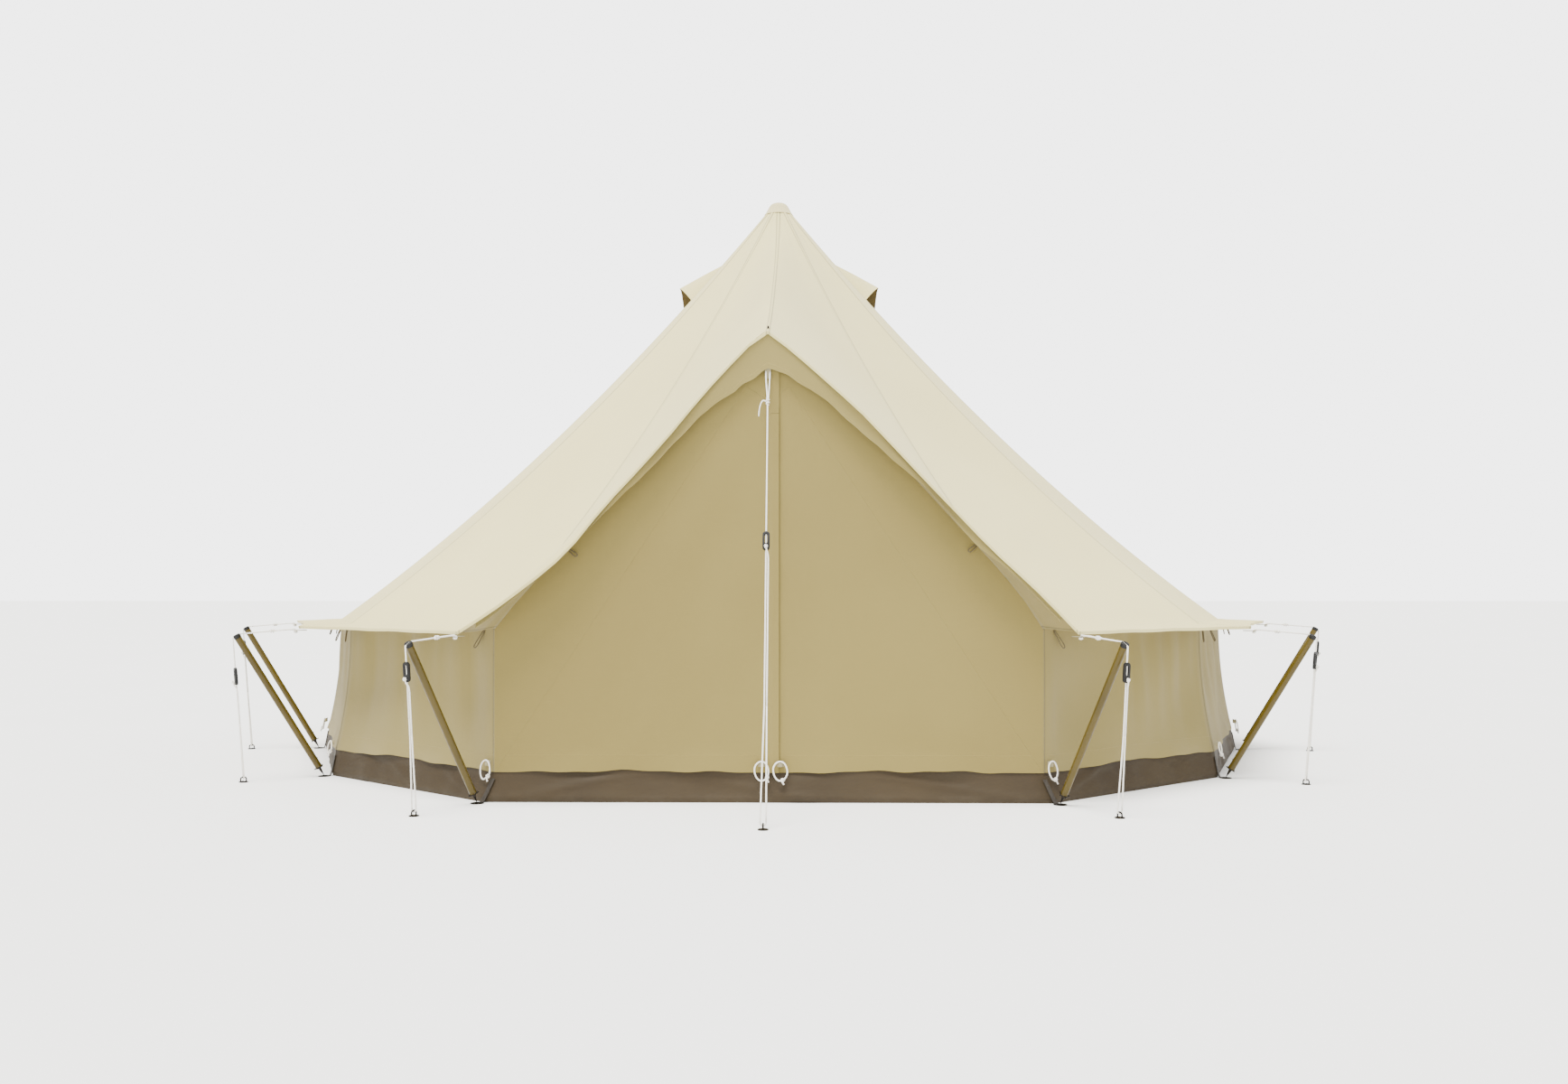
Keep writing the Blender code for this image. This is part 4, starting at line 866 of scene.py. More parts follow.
# The tent's setting-out
@dataclass(frozen=True)
class TentPlan:
    """Sizes and surfaces that the pieces share. Corner i stands at i panels from the door, towards +X."""

    panels: int = 13
    ground_radius: float = 2.50
    crown_radius: float = 0.045
    crown_height: float = 3.03
    wall_top_radius: float = 2.41
    wall_line: float = 0.708
    eave_radius: float = 2.647
    eave_height: float = 0.700
    roof_sag: float = 0.143
    eave_draw: float = 0.03
    panel_sink: float = 0.02
    hood_crest: float = 1.893
    hood_reach: float = 2.215
    hood_height: float = 1.885
    hood_curve: float = 0.75
    hood_seam: float = 0.68
    hem_seam: float = 0.94
    hem_radius: float = 2.48
    hem_height: float = 0.12
    door_plane: float = 2.185
    door_half: float = 1.116
    door_peak: float = 1.83
    leaf_top_z: float = 1.693
    arch_seat: float = 0.0034
    cloth: float = 0.002
    clearance: float = 0.0003
    rise_left: Rows = (
        (0.0, 0.040), (0.046, 0.050), (0.105, 0.050), (0.16, 0.046), (0.26, 0.040), (0.42, 0.030),
        (0.62, 0.022), (0.9, 0.022), (1.04, 0.015), (1.116, 0.0), (2.0, 0.0))
    rise_right: Rows = (
        (0.0, 0.040), (0.047, 0.045), (0.10, 0.052), (0.19, 0.062), (0.30, 0.068), (0.42, 0.068),
        (0.55, 0.062), (0.7, 0.060), (0.9, 0.055), (1.0, 0.045), (1.06, 0.030), (1.116, 0.0),
        (2.0, 0.0))
    edge_left: Rows = (
        (0.0, 0.0365), (0.046, 0.050), (0.105, 0.050), (0.16, 0.042), (0.26, 0.027), (0.39, -0.006),
        (0.52, -0.030), (0.645, -0.046), (0.725, -0.064), (0.80, -0.088), (0.905, -0.080),
        (1.0, -0.062), (1.1, -0.040), (1.23, 0.0), (2.0, 0.0))
    edge_right: Rows = (
        (0.0, 0.0365), (0.03, 0.040), (0.10, 0.048), (0.19, 0.056), (0.30, 0.062), (0.364, 0.065),
        (0.45, 0.055), (0.57, 0.043), (0.75, 0.023), (0.88, 0.010), (1.0, 0.014), (1.1, 0.014),
        (1.23, 0.0), (2.0, 0.0))

    @property
    def angle(self) -> float:
        """Angle between two corners."""
        return 2 * math.pi / self.panels

    def corner(self, i: float, radius: float, height: float) -> Vector:
        """Point at corner i, which may lie between two corners."""
        turn = i * self.angle
        return Vector((radius * math.sin(turn), -radius * math.cos(turn), height))

    def frame_at(self, i: float) -> Matrix:
        """Local frame at corner i: x outwards, y along the eave, z up."""
        return Matrix.Rotation(i * self.angle - math.pi / 2, 4, "Z")

    def wall_line_corner(self, i: int) -> Vector:
        """Where the seam of corner i crosses the line of the walls.

        Args:
            i: Corner or panel number.

        Returns:
            The point.
        """
        place = i % self.panels
        if place == 0:
            return Vector((0, -self.door_plane, self.hood_crest))
        if place in (1, self.panels - 1):
            side = 1 if place == 1 else -1
            return Vector((side * self.door_half, -self.door_plane, self.wall_line))
        return self.corner(place, self.wall_top_radius, self.wall_line)

    def eave_corner(self, i: int) -> Vector:
        """Outer end of the seam of corner i."""
        if i % self.panels == 0:
            return Vector((0, -self.hood_reach, self.hood_height))
        return self.corner(i, self.eave_radius, self.eave_height)

    def seam_point(self, i: int, t: float) -> Vector:
        """Point on the seam of corner i, from the crown at 0 to the wall line at 1.

        Args:
            i: Corner or panel number.
            t: Share of the way down the roof.

        Returns:
            The point.
        """
        foot = self.wall_line_corner(i)
        reach = math.hypot(foot.x, foot.y)
        share = lerp(self.crown_radius, reach, t) / reach
        if i % self.panels == 0:
            height = lerp(self.crown_height, foot.z, t ** self.hood_curve)
        else:
            height = lerp(self.crown_height, foot.z, t) - 4 * self.roof_sag * t * (1 - t)
        return Vector((foot.x * share, foot.y * share, height))

    def roof_point(self, i: int, s: float, t: float) -> Vector:
        """Point on panel i of the roof, inside the wall line."""
        point = self.seam_point(i, t).lerp(self.seam_point(i + 1, t), s)
        point.z -= 4 * s * (1 - s) * self.panel_sink * math.sin(math.pi * t)
        return point

    def flap_point(self, i: int, s: float, share: float) -> Vector:
        """Point on the overhang of panel i, from the wall line at 0 to the eave at 1.

        Args:
            i: Corner or panel number.
            s: Share across the panel.
            share: Share of the way out or down.

        Returns:
            The point.
        """
        outer = self.eave_corner(i).lerp(self.eave_corner(i + 1), s)
        if i % self.panels not in (0, self.panels - 1):
            outer -= 4 * s * (1 - s) * self.eave_draw * Vector((outer.x, outer.y, 0)).normalized()
        return self.roof_point(i, s, 1.0).lerp(outer, share)

    def seam_share(self, i: int, s: float) -> float:
        """Where the stitched line of the hem lies on the overhang.

        Args:
            i: Corner or panel number.
            s: Share across the panel.

        Returns:
            The share of its width.
        """
        place = i % self.panels
        if place == 0:
            return lerp(self.hood_seam, self.hem_seam, s)
        if place == self.panels - 1:
            return lerp(self.hem_seam, self.hood_seam, s)
        return self.hem_seam

    def roof_height(self, panel: int, x: float, y: float) -> float:
        """Height of the roof at (x, y) in the frame of a panel's middle.

        Args:
            panel: Panel number.
            x: Place across.
            y: Place along the eave.

        Returns:
            The height.
        """
        radius = x / math.cos(self.angle / 2)
        s = 0.5 + y / (2 * radius * math.sin(self.angle / 2))
        t = (radius - self.crown_radius) / (self.wall_top_radius - self.crown_radius)
        return self.roof_point(panel, s, t).z

    def hood_rise(self, x: float) -> float:
        """How far the roof bows up over the door's frame at a place x across the door."""
        return table(self.rise_right if x > 0 else self.rise_left, abs(x))

    def hood_edge(self, x: float) -> float:
        """How far the hood's hem lies above the straight line from tip to corner at a place x."""
        return table(self.edge_right if x > 0 else self.edge_left, abs(x))

    def hood_lift(self, i: int, s: float, share: float) -> float:
        """How far the hood's cloth lies above its flat shape, from the wall line at 0 to the hem at 1.

        Args:
            i: Corner or panel number.
            s: Share across the panel.
            share: Share of the way out or down.

        Returns:
            The lift.
        """
        if i % self.panels not in (0, self.panels - 1):
            return 0.0
        x = self.flap_point(i, s, share).x
        return lerp(self.hood_rise(x), self.hood_edge(x), share * share) - self.crest_drop(i, s, 1.0)

    def crest_drop(self, i: int, s: float, t: float) -> float:
        """How far the crest between the two front panels is rounded off.

        Args:
            i: Corner or panel number.
            s: Share across the panel.
            t: Share of the way down the roof.

        Returns:
            The drop.
        """
        near = s if i == 0 else 1 - s
        far = near * self.door_half * t
        soft = 0.026 * smooth(t / 0.12) * (1 - 0.7 * smooth((t - 0.75) / 0.25))
        return 0.9 * (math.hypot(far, soft) - far)

    def wall_corner(self, i: int, share: float) -> Vector:
        """Wall seam at corner i, from the roof at 0 to the hem at 1.

        Args:
            i: Corner or panel number.
            share: Share of the way out or down.

        Returns:
            The point.
        """
        top = self.wall_line_corner(i)
        if i in (1, self.panels - 1):
            return Vector((top.x, top.y, lerp(top.z - self.arch_seat, self.hem_height, share)))
        height = lerp(top.z - self.cloth - self.clearance, self.hem_height, share)
        return self.corner(i, lerp(self.wall_top_radius, self.hem_radius, share ** 2), height)

    def arch_top(self, x: float) -> float:
        """Upper edge of the canvas in the door's plane."""
        share = abs(x) / self.door_half
        rise = self.hood_rise(x) - self.crest_drop(0, min(share, 1.0), 1.0)
        return lerp(self.hood_crest, self.wall_line, share) + rise - self.arch_seat

    def arch_edge(self, x: float) -> float:
        """Lower edge of the fixed canvas over the doorway."""
        return self.door_peak - (self.door_peak - self.hem_height) / self.door_half * abs(x)

    def leaf_foot_x(self) -> float:
        """Where a leaf's top edge meets its hinge line."""
        return self.door_half * (self.door_peak - self.leaf_top_z) / (self.door_peak - self.hem_height)

    def leaf_top(self, side: int, x: float) -> float:
        """Height of a leaf's top edge, which runs square to its hinge line."""
        slope = self.door_half / (self.door_peak - self.hem_height)
        return self.leaf_top_z - slope * (self.leaf_foot_x() - side * x)

    def upstand(self, i: int, height: float) -> Vector:
        """Outer edge of the groundsheet's upstand at corner i.

        Args:
            i: Corner or panel number.
            height: Height above the deck.

        Returns:
            The point.
        """
        inset = 1 - (self.cloth + 2 * self.clearance) / self.hem_radius
        hem = self.wall_corner(i, 1.0)
        low = Vector((hem.x * inset, hem.y * inset, 0.112))
        if height >= 0.112:
            lean = 1 - 0.006 / self.hem_radius
            high = Vector((low.x * lean, low.y * lean, 0.15))
            return low.lerp(high, (height - 0.112) / 0.038)
        return self.corner(i, self.ground_radius, 0.0).lerp(low, height / 0.112)


PLAN = TentPlan()


# Studio
@dataclass
class Studio:
    """Camera at the photograph's view, a plain pale floor and soft light from above."""

    lens: float = 31.36
    camera_place: tuple[float, float, float] = (0.155, -7.745, 0.856)
    camera_turn: float = 0.0162
    shift: float = 0.0318
    floor_size: float = 240.0
    sky: float = 1.40
    backdrop: float = 5.5
    sun: float = 8.6

    def set_camera(self) -> None:
        """Place the camera level, at the height and distance that the photograph was taken from."""
        data = bpy.data.cameras.new("view")
        data.lens = self.lens
        data.sensor_width = 36.0
        data.sensor_fit = "HORIZONTAL"
        data.shift_y = self.shift
        camera = bpy.data.objects.new("view", data)
        camera.location = self.camera_place
        camera.rotation_euler = Euler((math.pi / 2, 0.0, self.camera_turn))
        bpy.context.collection.objects.link(camera)
        bpy.context.scene.camera = camera

    def light(self) -> None:
        """Add an even sky, a broad soft light from above and a weak one from the front."""
        world = bpy.data.worlds.new("studio")
        world.use_nodes = True
        tree = world.node_tree
        sky = tree.nodes["Background"]
        sky.inputs[0].default_value = (0.985, 0.99, 1.0, 1.0)
        sky.inputs[1].default_value = self.sky
        wall = tree.nodes.new("ShaderNodeBackground")
        wall.inputs[1].default_value = self.backdrop
        pick = tree.nodes.new("ShaderNodeMixShader")
        rays = tree.nodes.new("ShaderNodeLightPath")
        tree.links.new(rays.outputs["Is Camera Ray"], pick.inputs[0])
        tree.links.new(sky.outputs[0], pick.inputs[1])
        tree.links.new(wall.outputs[0], pick.inputs[2])
        tree.links.new(pick.outputs[0], tree.nodes["World Output"].inputs[0])
        bpy.context.scene.world = world
        for name, place, power, spread in (("overhead light", (-1.4, -2.4, 10.0), self.sun, 34.0),
                                           ("front light", (-3.0, -9.0, 3.0), self.sun * 0.09, 40.0)):
            data = bpy.data.lights.new(name, "SUN")
            data.energy = power
            data.angle = math.radians(spread)
            data.color = (1.0, 0.985, 0.95)
            lamp = bpy.data.objects.new(name, data)
            lamp.location = place
            lamp.rotation_euler = Vector(place).to_track_quat("Z", "Y").to_euler()
            bpy.context.collection.objects.link(lamp)

    def lay_floor(self) -> None:
        """Lay the plain floor."""
        deselect()
        bpy.ops.mesh.primitive_grid_add(x_subdivisions=8, y_subdivisions=8, size=self.floor_size)
        floor = claim("studio_floor")
        floor.data.materials.append(FLOOR.material())

    def build(self) -> None:
        """Set the whole studio up."""
        self.set_camera()
        self.light()
        self.lay_floor()
        log.info("studio: camera, sky, two soft lights and a floor")


# Ropes
@dataclass
class GuyLine:
    """One guy line: its strands, loop and knots, from the eave or the hood to the deck eye."""

    corner: int
    radius: float = 0.003
    lean: float = math.radians(30.5)
    foot_radius: float = 2.53
    foot_lift: float = 0.0033
    anchor_radius: float = 2.887
    door_anchor_radius: float = 2.836
    run: Rows = ((0.7605, -0.0175), (0.7612, 0.0140), (0.7600, 0.0190), (0.7575, 0.0203))
    tab_hole: tuple[float, float] = (2.659, 0.6795)
    door_start: tuple[float, float] = (2.194, 1.765)
    loop_radius: float = 0.011
    loop_height: float = 0.0276
    strand_gap: float = 0.009
    slider_length: float = 0.078
    travel: float = 0.20
    low_travel: float = 0.17
    door_travel: float = 0.62
    slider_drop: float = 0.055
    low_drop: float = 0.130
    door_drop: float = 0.720

    @property
    def is_door(self) -> bool:
        """Whether this is the line from the hood's tip."""
        return self.corner == 0

    @property
    def number(self) -> str:
        """Ending of the line's names."""
        return "door" if self.is_door else f"{self.corner % PLAN.panels:02d}"

    @property
    def node(self) -> str:
        """Node that the line's pieces stand for."""
        return f"guy_line_{self.number}"

    @property
    def pole(self) -> str:
        """Body of the line's pole."""
        return f"pole_{self.number}"

    @property
    def slider(self) -> str:
        """Body of the line's tensioner."""
        return f"slider_{self.number}"

    @property
    def drop(self) -> float:
        """How far down its span the tensioner's top lies at rest."""
        if self.is_door:
            return self.door_drop
        return self.low_drop if self.corner == -2 else self.slider_drop

    def place(self, x: float, y: float, z: float) -> Vector:
        """Turn a point of the line's own frame into the tent's."""
        return PLAN.frame_at(self.corner) @ Vector((x, y, z))

    def pole_point(self, up: float, out: float, side: float = 0.0) -> Vector:
        """Point beside the line's pole, in the tent's frame."""
        x = self.foot_radius + up * math.sin(self.lean) + out * math.cos(self.lean)
        z = self.foot_lift + up * math.cos(self.lean) - out * math.sin(self.lean)
        return self.place(x, side, z)

    def top(self) -> Vector:
        """Upper end of the span that carries the tensioner."""
        if self.is_door:
            return self.place(self.door_start[0], 0, self.door_start[1])
        return self.pole_point(*self.run[-1])

    def bottom(self) -> Vector:
        """Middle of the loop at the deck eye."""
        radius = self.door_anchor_radius if self.is_door else self.anchor_radius
        return self.place(radius, 0, self.loop_height)

    def sideways(self) -> Vector:
        """Direction along the eave."""
        return PLAN.frame_at(self.corner).to_3x3() @ Vector((0, 1, 0))

    def ahead(self) -> Vector:
        """Direction down the span that carries the tensioner."""
        return (self.bottom() - self.top()).normalized()

    def down(self, distance: float, side: float = 0.0) -> Vector:
        """Point that far down the span, and beside it."""
        return self.top() + self.ahead() * distance + self.sideways() * side

    def knot(self, name: str, at: Vector, along: Vector, size: float, slim: float = 1.0) -> Piece:
        """Tie a small overhand knot: three turns of rope wound round a strand.

        Args:
            name: Name of the piece.
            at: Its middle.
            along: Direction of the strand.
            size: Its length.
            slim: Its thickness, as a share of the usual one.

        Returns:
            The knot.
        """
        across = along.orthogonal().normalized()
        other = along.cross(across)
        path = []
        turns = 2.6
        for k in range(37):
            share = k / 36
            turn = 2 * math.pi * turns * share
            swell = slim * self.radius * (1.1 + 1.0 * math.sin(math.pi * share))
            path.append(at + along * (size * (share - 0.5)) + swell * (math.cos(turn) * across
                                                                       + math.sin(turn) * other))
        return rope_tube(name, path, self.radius * slim, 8)

    def declare(self, path: list[Vector]) -> None:
        """Work out a taut rope's length, which is then dropped.

        Args:
            path: Points down its middle.
        """
        length = sum((b - a).length for a, b in zip(path, path[1:]))
        tuple(path[0])
        [tuple(p) for p in path]

    def build_upper(self) -> None:
        """Span from the eave tab over the pole's cap, with its knots."""
        tab_x, tab_z = self.tab_hole
        under = 0.006
        start = self.place(tab_x, 0, tab_z)
        over = [self.pole_point(*spot) for spot in self.run]
        rise = self.place(tab_x + 0.004, 0, tab_z + under)
        path = curve_through([self.place(tab_x, 0, tab_z - 1.6 * under), start, rise], 4)[:-1]
        path += span(rise, over[0], 10)[:-1] + curve_through(over, 4)
        rope = rope_tube(f"guy_{self.number}_upper_rope", path, self.radius)
        settle(rope, ROPE, self.node)
        line = (over[0] - rise).normalized()
        half_way = self.knot(f"guy_{self.number}_mid_knot", rise.lerp(over[0], 0.42), line, 0.026)
        beside = self.sideways() * 0.0065
        loop = curve_through([self.place(tab_x, 0, tab_z - under) + beside, start + beside * 1.3,
                              rise.lerp(over[0], 0.12) + beside * 1.5, rise.lerp(over[0], 0.30) + beside,
                              rise.lerp(over[0], 0.42)], 5)
        doubled = rope_tube(f"guy_{self.number}_tab_loop", loop, self.radius * 0.9)
        settle(doubled, ROPE, self.node)
        stopper = self.knot(f"guy_{self.number}_tab_knot", self.place(tab_x, 0, tab_z - 0.007),
                            Vector((0, 0, 1)), 0.006)
        settle(half_way, ROPE, self.node)
        settle(stopper, ROPE, self.node, Body.TENT)
        self.declare(path)
        for piece in (rope, half_way, doubled):
            self.pole
            tuple(over[0])
            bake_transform(piece)

    def loop_path(self) -> list[Vector]:
        """Rope points round the deck eye, from one strand to the other."""
        bottom, side = self.bottom(), self.sideways()
        return [bottom - side * (self.loop_radius * math.cos(math.pi * k / 10))
                - Vector((0, 0, self.loop_radius * math.sin(math.pi * k / 10))) for k in range(11)]

    def build_lower(self) -> None:
        """Double strand with the tensioner: down to the deck eye, round it and back up."""
        foot = self.drop + self.slider_length
        travel = self.low_travel if self.corner == -2 else self.travel
        parting = foot + (self.door_travel if self.is_door else travel) + 0.004
        loop = self.loop_path()
        if self.is_door:
            path = curve_through([self.down(0.0, -0.0085), self.down(0.05, -0.0075), self.down(0.10, -0.004),
                                  self.down(0.155, -0.0005), self.down(0.25)], 4)[:-1]
            path += span(self.down(0.25), self.down(parting), 12)[:-1]
        else:
            path = span(self.down(0.0), self.down(parting), 14)[:-1]
        path += curve_through([self.down(parting), self.down(parting + 0.05, -0.0012)], 4)[:-1]
        path += span(self.down(parting + 0.05, -0.0012), loop[0], 8)[:-1] + loop
        rope = rope_tube(f"guy_{self.number}_lower_rope", path, self.radius)
        settle(rope, ROPE, self.node)
        back = [self.down(foot + 0.001, self.strand_gap * 0.6), self.down(parting, self.strand_gap)]
        rising = rope_tube(f"guy_{self.number}_return_rope", span(back[1], loop[-1], 10), self.radius)
        face = self.ahead().cross(self.sideways())
        beside = self.down(foot + 0.035, self.strand_gap)
        bend = curve_through([self.down(foot - 0.010) + face * 0.012,
                              self.down(foot + 0.003, 0.003) + face * 0.009,
                              self.down(foot + 0.016, self.strand_gap * 0.8) + face * 0.002, beside], 4)[:-1]
        tail = rope_tube(f"guy_{self.number}_tensioned_end", bend + span(beside, back[1], 8), self.radius)
        tie = self.knot(f"guy_{self.number}_end_knot", self.down(foot - 0.013) + face * 0.0125,
                        self.ahead(), 0.012, 0.85)
        for piece in (rising, tail):
            settle(piece, ROPE, self.node)
        settle(tie, ROPE, self.node, self.slider)
        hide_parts(self.node)
        self.declare(path)
        if self.is_door:
            self.slider
            tuple(back[0])
            tuple(back[1])
            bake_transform(tail)
            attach(rope, Body.TENT.value)
            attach(rising, Body.TENT.value)
            return
        for piece in (rope, rising):
            self.pole
            tuple(self.down(parting))
            tuple(self.bottom())
            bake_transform(piece)
        self.slider
        self.pole
        tuple(back[0])
        tuple(back[1])
        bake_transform(tail)

    def build_door_top(self) -> None:
        """Doubled rope, knot and tail below the hood's tip."""
        tie = self.down(0.152)
        path = curve_through([self.down(0.0, 0.0085), self.down(0.05, 0.0075), self.down(0.10, 0.005),
                              self.down(0.150, 0.002)], 5)
        second = rope_tube("guy_door_second_strand", path, self.radius * 0.95)
        settle(second, ROPE, self.node, Body.TENT)
        tied = self.knot("guy_door_top_knot", tie, self.ahead(), 0.030)
        settle(tied, ROPE, self.node, Body.TENT)
        bends = ((-0.004, -0.004, 0.0), (-0.020, -0.008, 0.002), (-0.031, -0.007, -0.022),
                 (-0.036, -0.006, -0.060))
        tail = rope_tube("guy_door_knot_tail", curve_through([tie + Vector(bend) for bend in bends], 5),
                         self.radius * 0.9)
        settle(tail, ROPE, self.node, Body.TENT)

    def build(self) -> None:
        """Make the whole line."""
        if self.is_door:
            self.build_door_top()
        else:
            self.build_upper()
        self.build_lower()


@dataclass
class DeckEyes:
    """Round deck plates, each with a screw on either side and a bent eye, that the guy lines hook on."""

    plate_radius: float = 0.020
    plate_thickness: float = 0.003
    bar_radius: float = 0.003
    eye_height: float = 0.022
    half_span: float = 0.012

    def pattern(self) -> Piece:
        """Model one plate with its eye and screws at the origin.

        Returns:
            The pattern piece.
        """
        plate = cylinder("deck_plate_pattern", 36, self.plate_radius, self.plate_thickness,
                         (0, 0, self.plate_thickness / 2))
        pick_faces(plate, lambda face: face.normal.z > 0.9)
        edit(plate, "FACE", lambda: bpy.ops.mesh.inset(thickness=0.0025),
             lambda: bpy.ops.transform.translate(value=(0, 0, 0.0008)))
        modify(plate, "BEVEL", width=0.0005, segments=2, limit_method="ANGLE")
        bend = self.half_span / 2
        low = self.plate_thickness
        half, high = self.half_span, self.eye_height
        outline = ((-half, low), (-half, high - bend), (-bend, high), (bend, high), (half, high - bend),
                   (half, low))
        path = curve_through([Vector((x, 0, z)) for x, z in outline], 6)
        eye = rope_tube("deck_eye_bar", path, self.bar_radius, 12)
        screws = []
        for side in (-1, 1):
            screw = cylinder("deck_screw", 16, 0.0032, 0.002, (0, side * 0.0125, low + 0.0014))
            pick_faces(screw, lambda face: face.normal.z > 0.9)
            edit(screw, "FACE", lambda: bpy.ops.mesh.inset(thickness=0.0014),
                 lambda: bpy.ops.transform.translate(value=(0, 0, -0.0006)))
            screws.append(screw)
        join(plate, eye, *screws)
        soften(plate, 40)
        return plate

    def build(self, lines: Iterable[GuyLine]) -> None:
        """Copy the plate to every guy line's foot.

        Args:
            lines: All guy lines.
        """
        pattern = self.pattern()
        for line in lines:
            radius = line.door_anchor_radius if line.is_door else line.anchor_radius
            move = PLAN.frame_at(line.corner) @ Matrix.Translation((radius, 0, 0))
            plate = duplicate(pattern, f"deck_eye_{line.number}", move)
            settle(plate, DARK_STEEL, line.node, Body.TENT)
        discard(pattern)
        log.info("deck eyes: 13")


@dataclass
class Tensioners:
    """Rope tensioners: rounded plates with a bore for the rope and a window that shows it."""

    length: float = 0.078
    width: float = 0.028
    thickness: float = 0.011
    bore: float = 0.0041
    window: tuple[float, float] = (0.038, 0.0115)
    window_up: float = 0.008

    def rounded_block(self, name: str, length: float, width: float, thick: float) -> Piece:
        """Block with round ends, length along x.

        Args:
            name: Name of the block.
            length: Size along x.
            width: Size along y.
            thick: Size along z.

        Returns:
            The block.
        """
        slab = block(name, (length, width, thick), (0, 0, 0))
        pick_uprights(slab, thick / 2)
        edit(slab, "EDGE", lambda: bpy.ops.mesh.bevel(offset=width * 0.498, segments=8))
        return slab

    def pattern(self) -> Piece:
        """Model one tensioner at the origin, its rope along x and its face along z.

        Returns:
            The pattern piece.
        """
        plate = self.rounded_block("tensioner_pattern", self.length, self.width, self.thickness)
        opening = self.rounded_block("tensioner_window", *self.window, self.thickness * 3)
        opening.data.transform(Matrix.Translation((-self.window_up, 0, 0)))
        bore = cylinder("tensioner_bore", 16, self.bore, self.length * 1.3, (0, 0, 0), (0, math.pi / 2, 0))
        cut(plate, opening, bore)
        modify(plate, "BEVEL", width=0.0011, segments=3, limit_method="ANGLE", angle_limit=math.radians(40))
        soften(plate, 50)
        return plate

    def build(self, lines: Iterable[GuyLine]) -> None:
        """Copy the tensioner to every guy line.

        Args:
            lines: All guy lines.
        """
        pattern = self.pattern()
        for line in lines:
            ahead, side = line.ahead(), line.sideways()
            turn = Matrix((ahead, side, ahead.cross(side))).transposed().to_4x4()
            move = Matrix.Translation(line.down(line.drop + self.length / 2)) @ turn
            plate = duplicate(pattern, f"tensioner_{line.number}", move)
            settle(plate, PLASTIC, f"guy_slider_{line.number}", line.slider)
            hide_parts(f"guy_slider_{line.number}")
        discard(pattern)
        log.info("tensioners: 13")


# Poles
@dataclass
class SidePoles:
    """Leaning poles: lacquered tube, grooved cap, star collar and spike, each foot on a deck plate."""

    length: float = 0.770
    radius: float = 0.0150
    spike: float = 0.045
    collar_radius: float = 0.024
    collar_valley: float = 0.66
    collar_thickness: float = 0.005
    cap_length: float = 0.021
    groove: float = 0.0038
    groove_depth: float = 0.013

    def shaft(self) -> Piece:
        """Tube between collar and cap, with a push button near its foot.

        Returns:
            The pattern piece.
        """
        low = self.spike + self.collar_thickness
        high = self.length - self.cap_length
        tube = cylinder("pole_shaft_pattern", 28, self.radius, high - low, (0, 0, (high + low) / 2))
        pick_faces(tube, lambda face: abs(face.normal.z) > 0.9)
        edit(tube, "FACE", lambda: bpy.ops.mesh.inset(thickness=0.0015))
        button = cylinder("pole_button", 16, 0.0032, 0.004, (-self.radius, 0, 0.090), (0, math.pi / 2, 0))
        modify(button, "BEVEL", width=0.001, segments=3, limit_method="ANGLE")
        join(tube, button)
        soften(tube)
        return tube

    def cap(self) -> Piece:
        """Plastic cap with a groove across its top for the rope.

        Returns:
            The pattern piece.
        """
        high = self.length - 0.004
        low = self.length - self.cap_length
        cap = cylinder("pole_cap_pattern", 28, self.radius + 0.001, high - low, (0, 0, (high + low) / 2))
        modify(cap, "BEVEL", width=0.003, segments=3, limit_method="ANGLE")
        cut(cap, block("pole_groove", (0.08, 2 * self.groove, 2 * self.groove_depth), (0, 0, self.length)))
        soften(cap)
        return cap

    def collar(self) -> Piece:
        """Star-shaped collar and the spike below it.

        Returns:
            The pattern piece.
        """
        thick = self.collar_thickness
        star = cylinder("pole_collar_pattern", 10, self.collar_radius, thick, (0, 0, self.spike + thick / 2))
        for vert in star.data.vertices:
            turn = round(math.atan2(vert.co.y, vert.co.x) / (math.pi / 5) + 0.5)
            if turn % 2:
                vert.co.x *= self.collar_valley
                vert.co.y *= self.collar_valley
        modify(star, "BEVEL", width=0.0012, segments=2, limit_method="ANGLE", angle_limit=math.radians(20))
        deselect()
        bpy.ops.mesh.primitive_cone_add(vertices=24, radius1=0.0006, radius2=0.0075, depth=self.spike,
                                        location=(0, 0, self.spike / 2))
        spike = claim("pole_spike")
        pick_faces(spike, lambda face: face.normal.z > 0.9)
        edit(spike, "FACE", lambda: bpy.ops.mesh.extrude_region_move(
            TRANSFORM_OT_translate={"value": (0, 0, self.collar_thickness)}))
        join(star, spike)
        soften(star)
        return star

    def build(self, lines: Iterable[GuyLine]) -> None:
        """Copy the pole's pieces to each corner, leaning outwards.

        Args:
            lines: All guy lines.
        """
        patterns = ((self.shaft(), "shaft", OLIVE), (self.cap(), "cap", PLASTIC),
                    (self.collar(), "collar", DARK_STEEL))
        for line in lines:
            if line.is_door:
                continue
            move = (PLAN.frame_at(line.corner) @ Matrix.Translation((line.foot_radius, 0, line.foot_lift))
                    @ Matrix.Rotation(line.lean, 4, "Y"))
            for pattern, word, finish in patterns:
                piece = duplicate(pattern, f"pole_{line.number}_{word}", move)
                settle(piece, finish, f"side_pole_{line.number}", line.pole)
                if word == "shaft":
                    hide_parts(f"side_pole_{line.number}")
        discard(*(pattern for pattern, _, _ in patterns))
        log.info("side poles: 12 of 3 pieces")


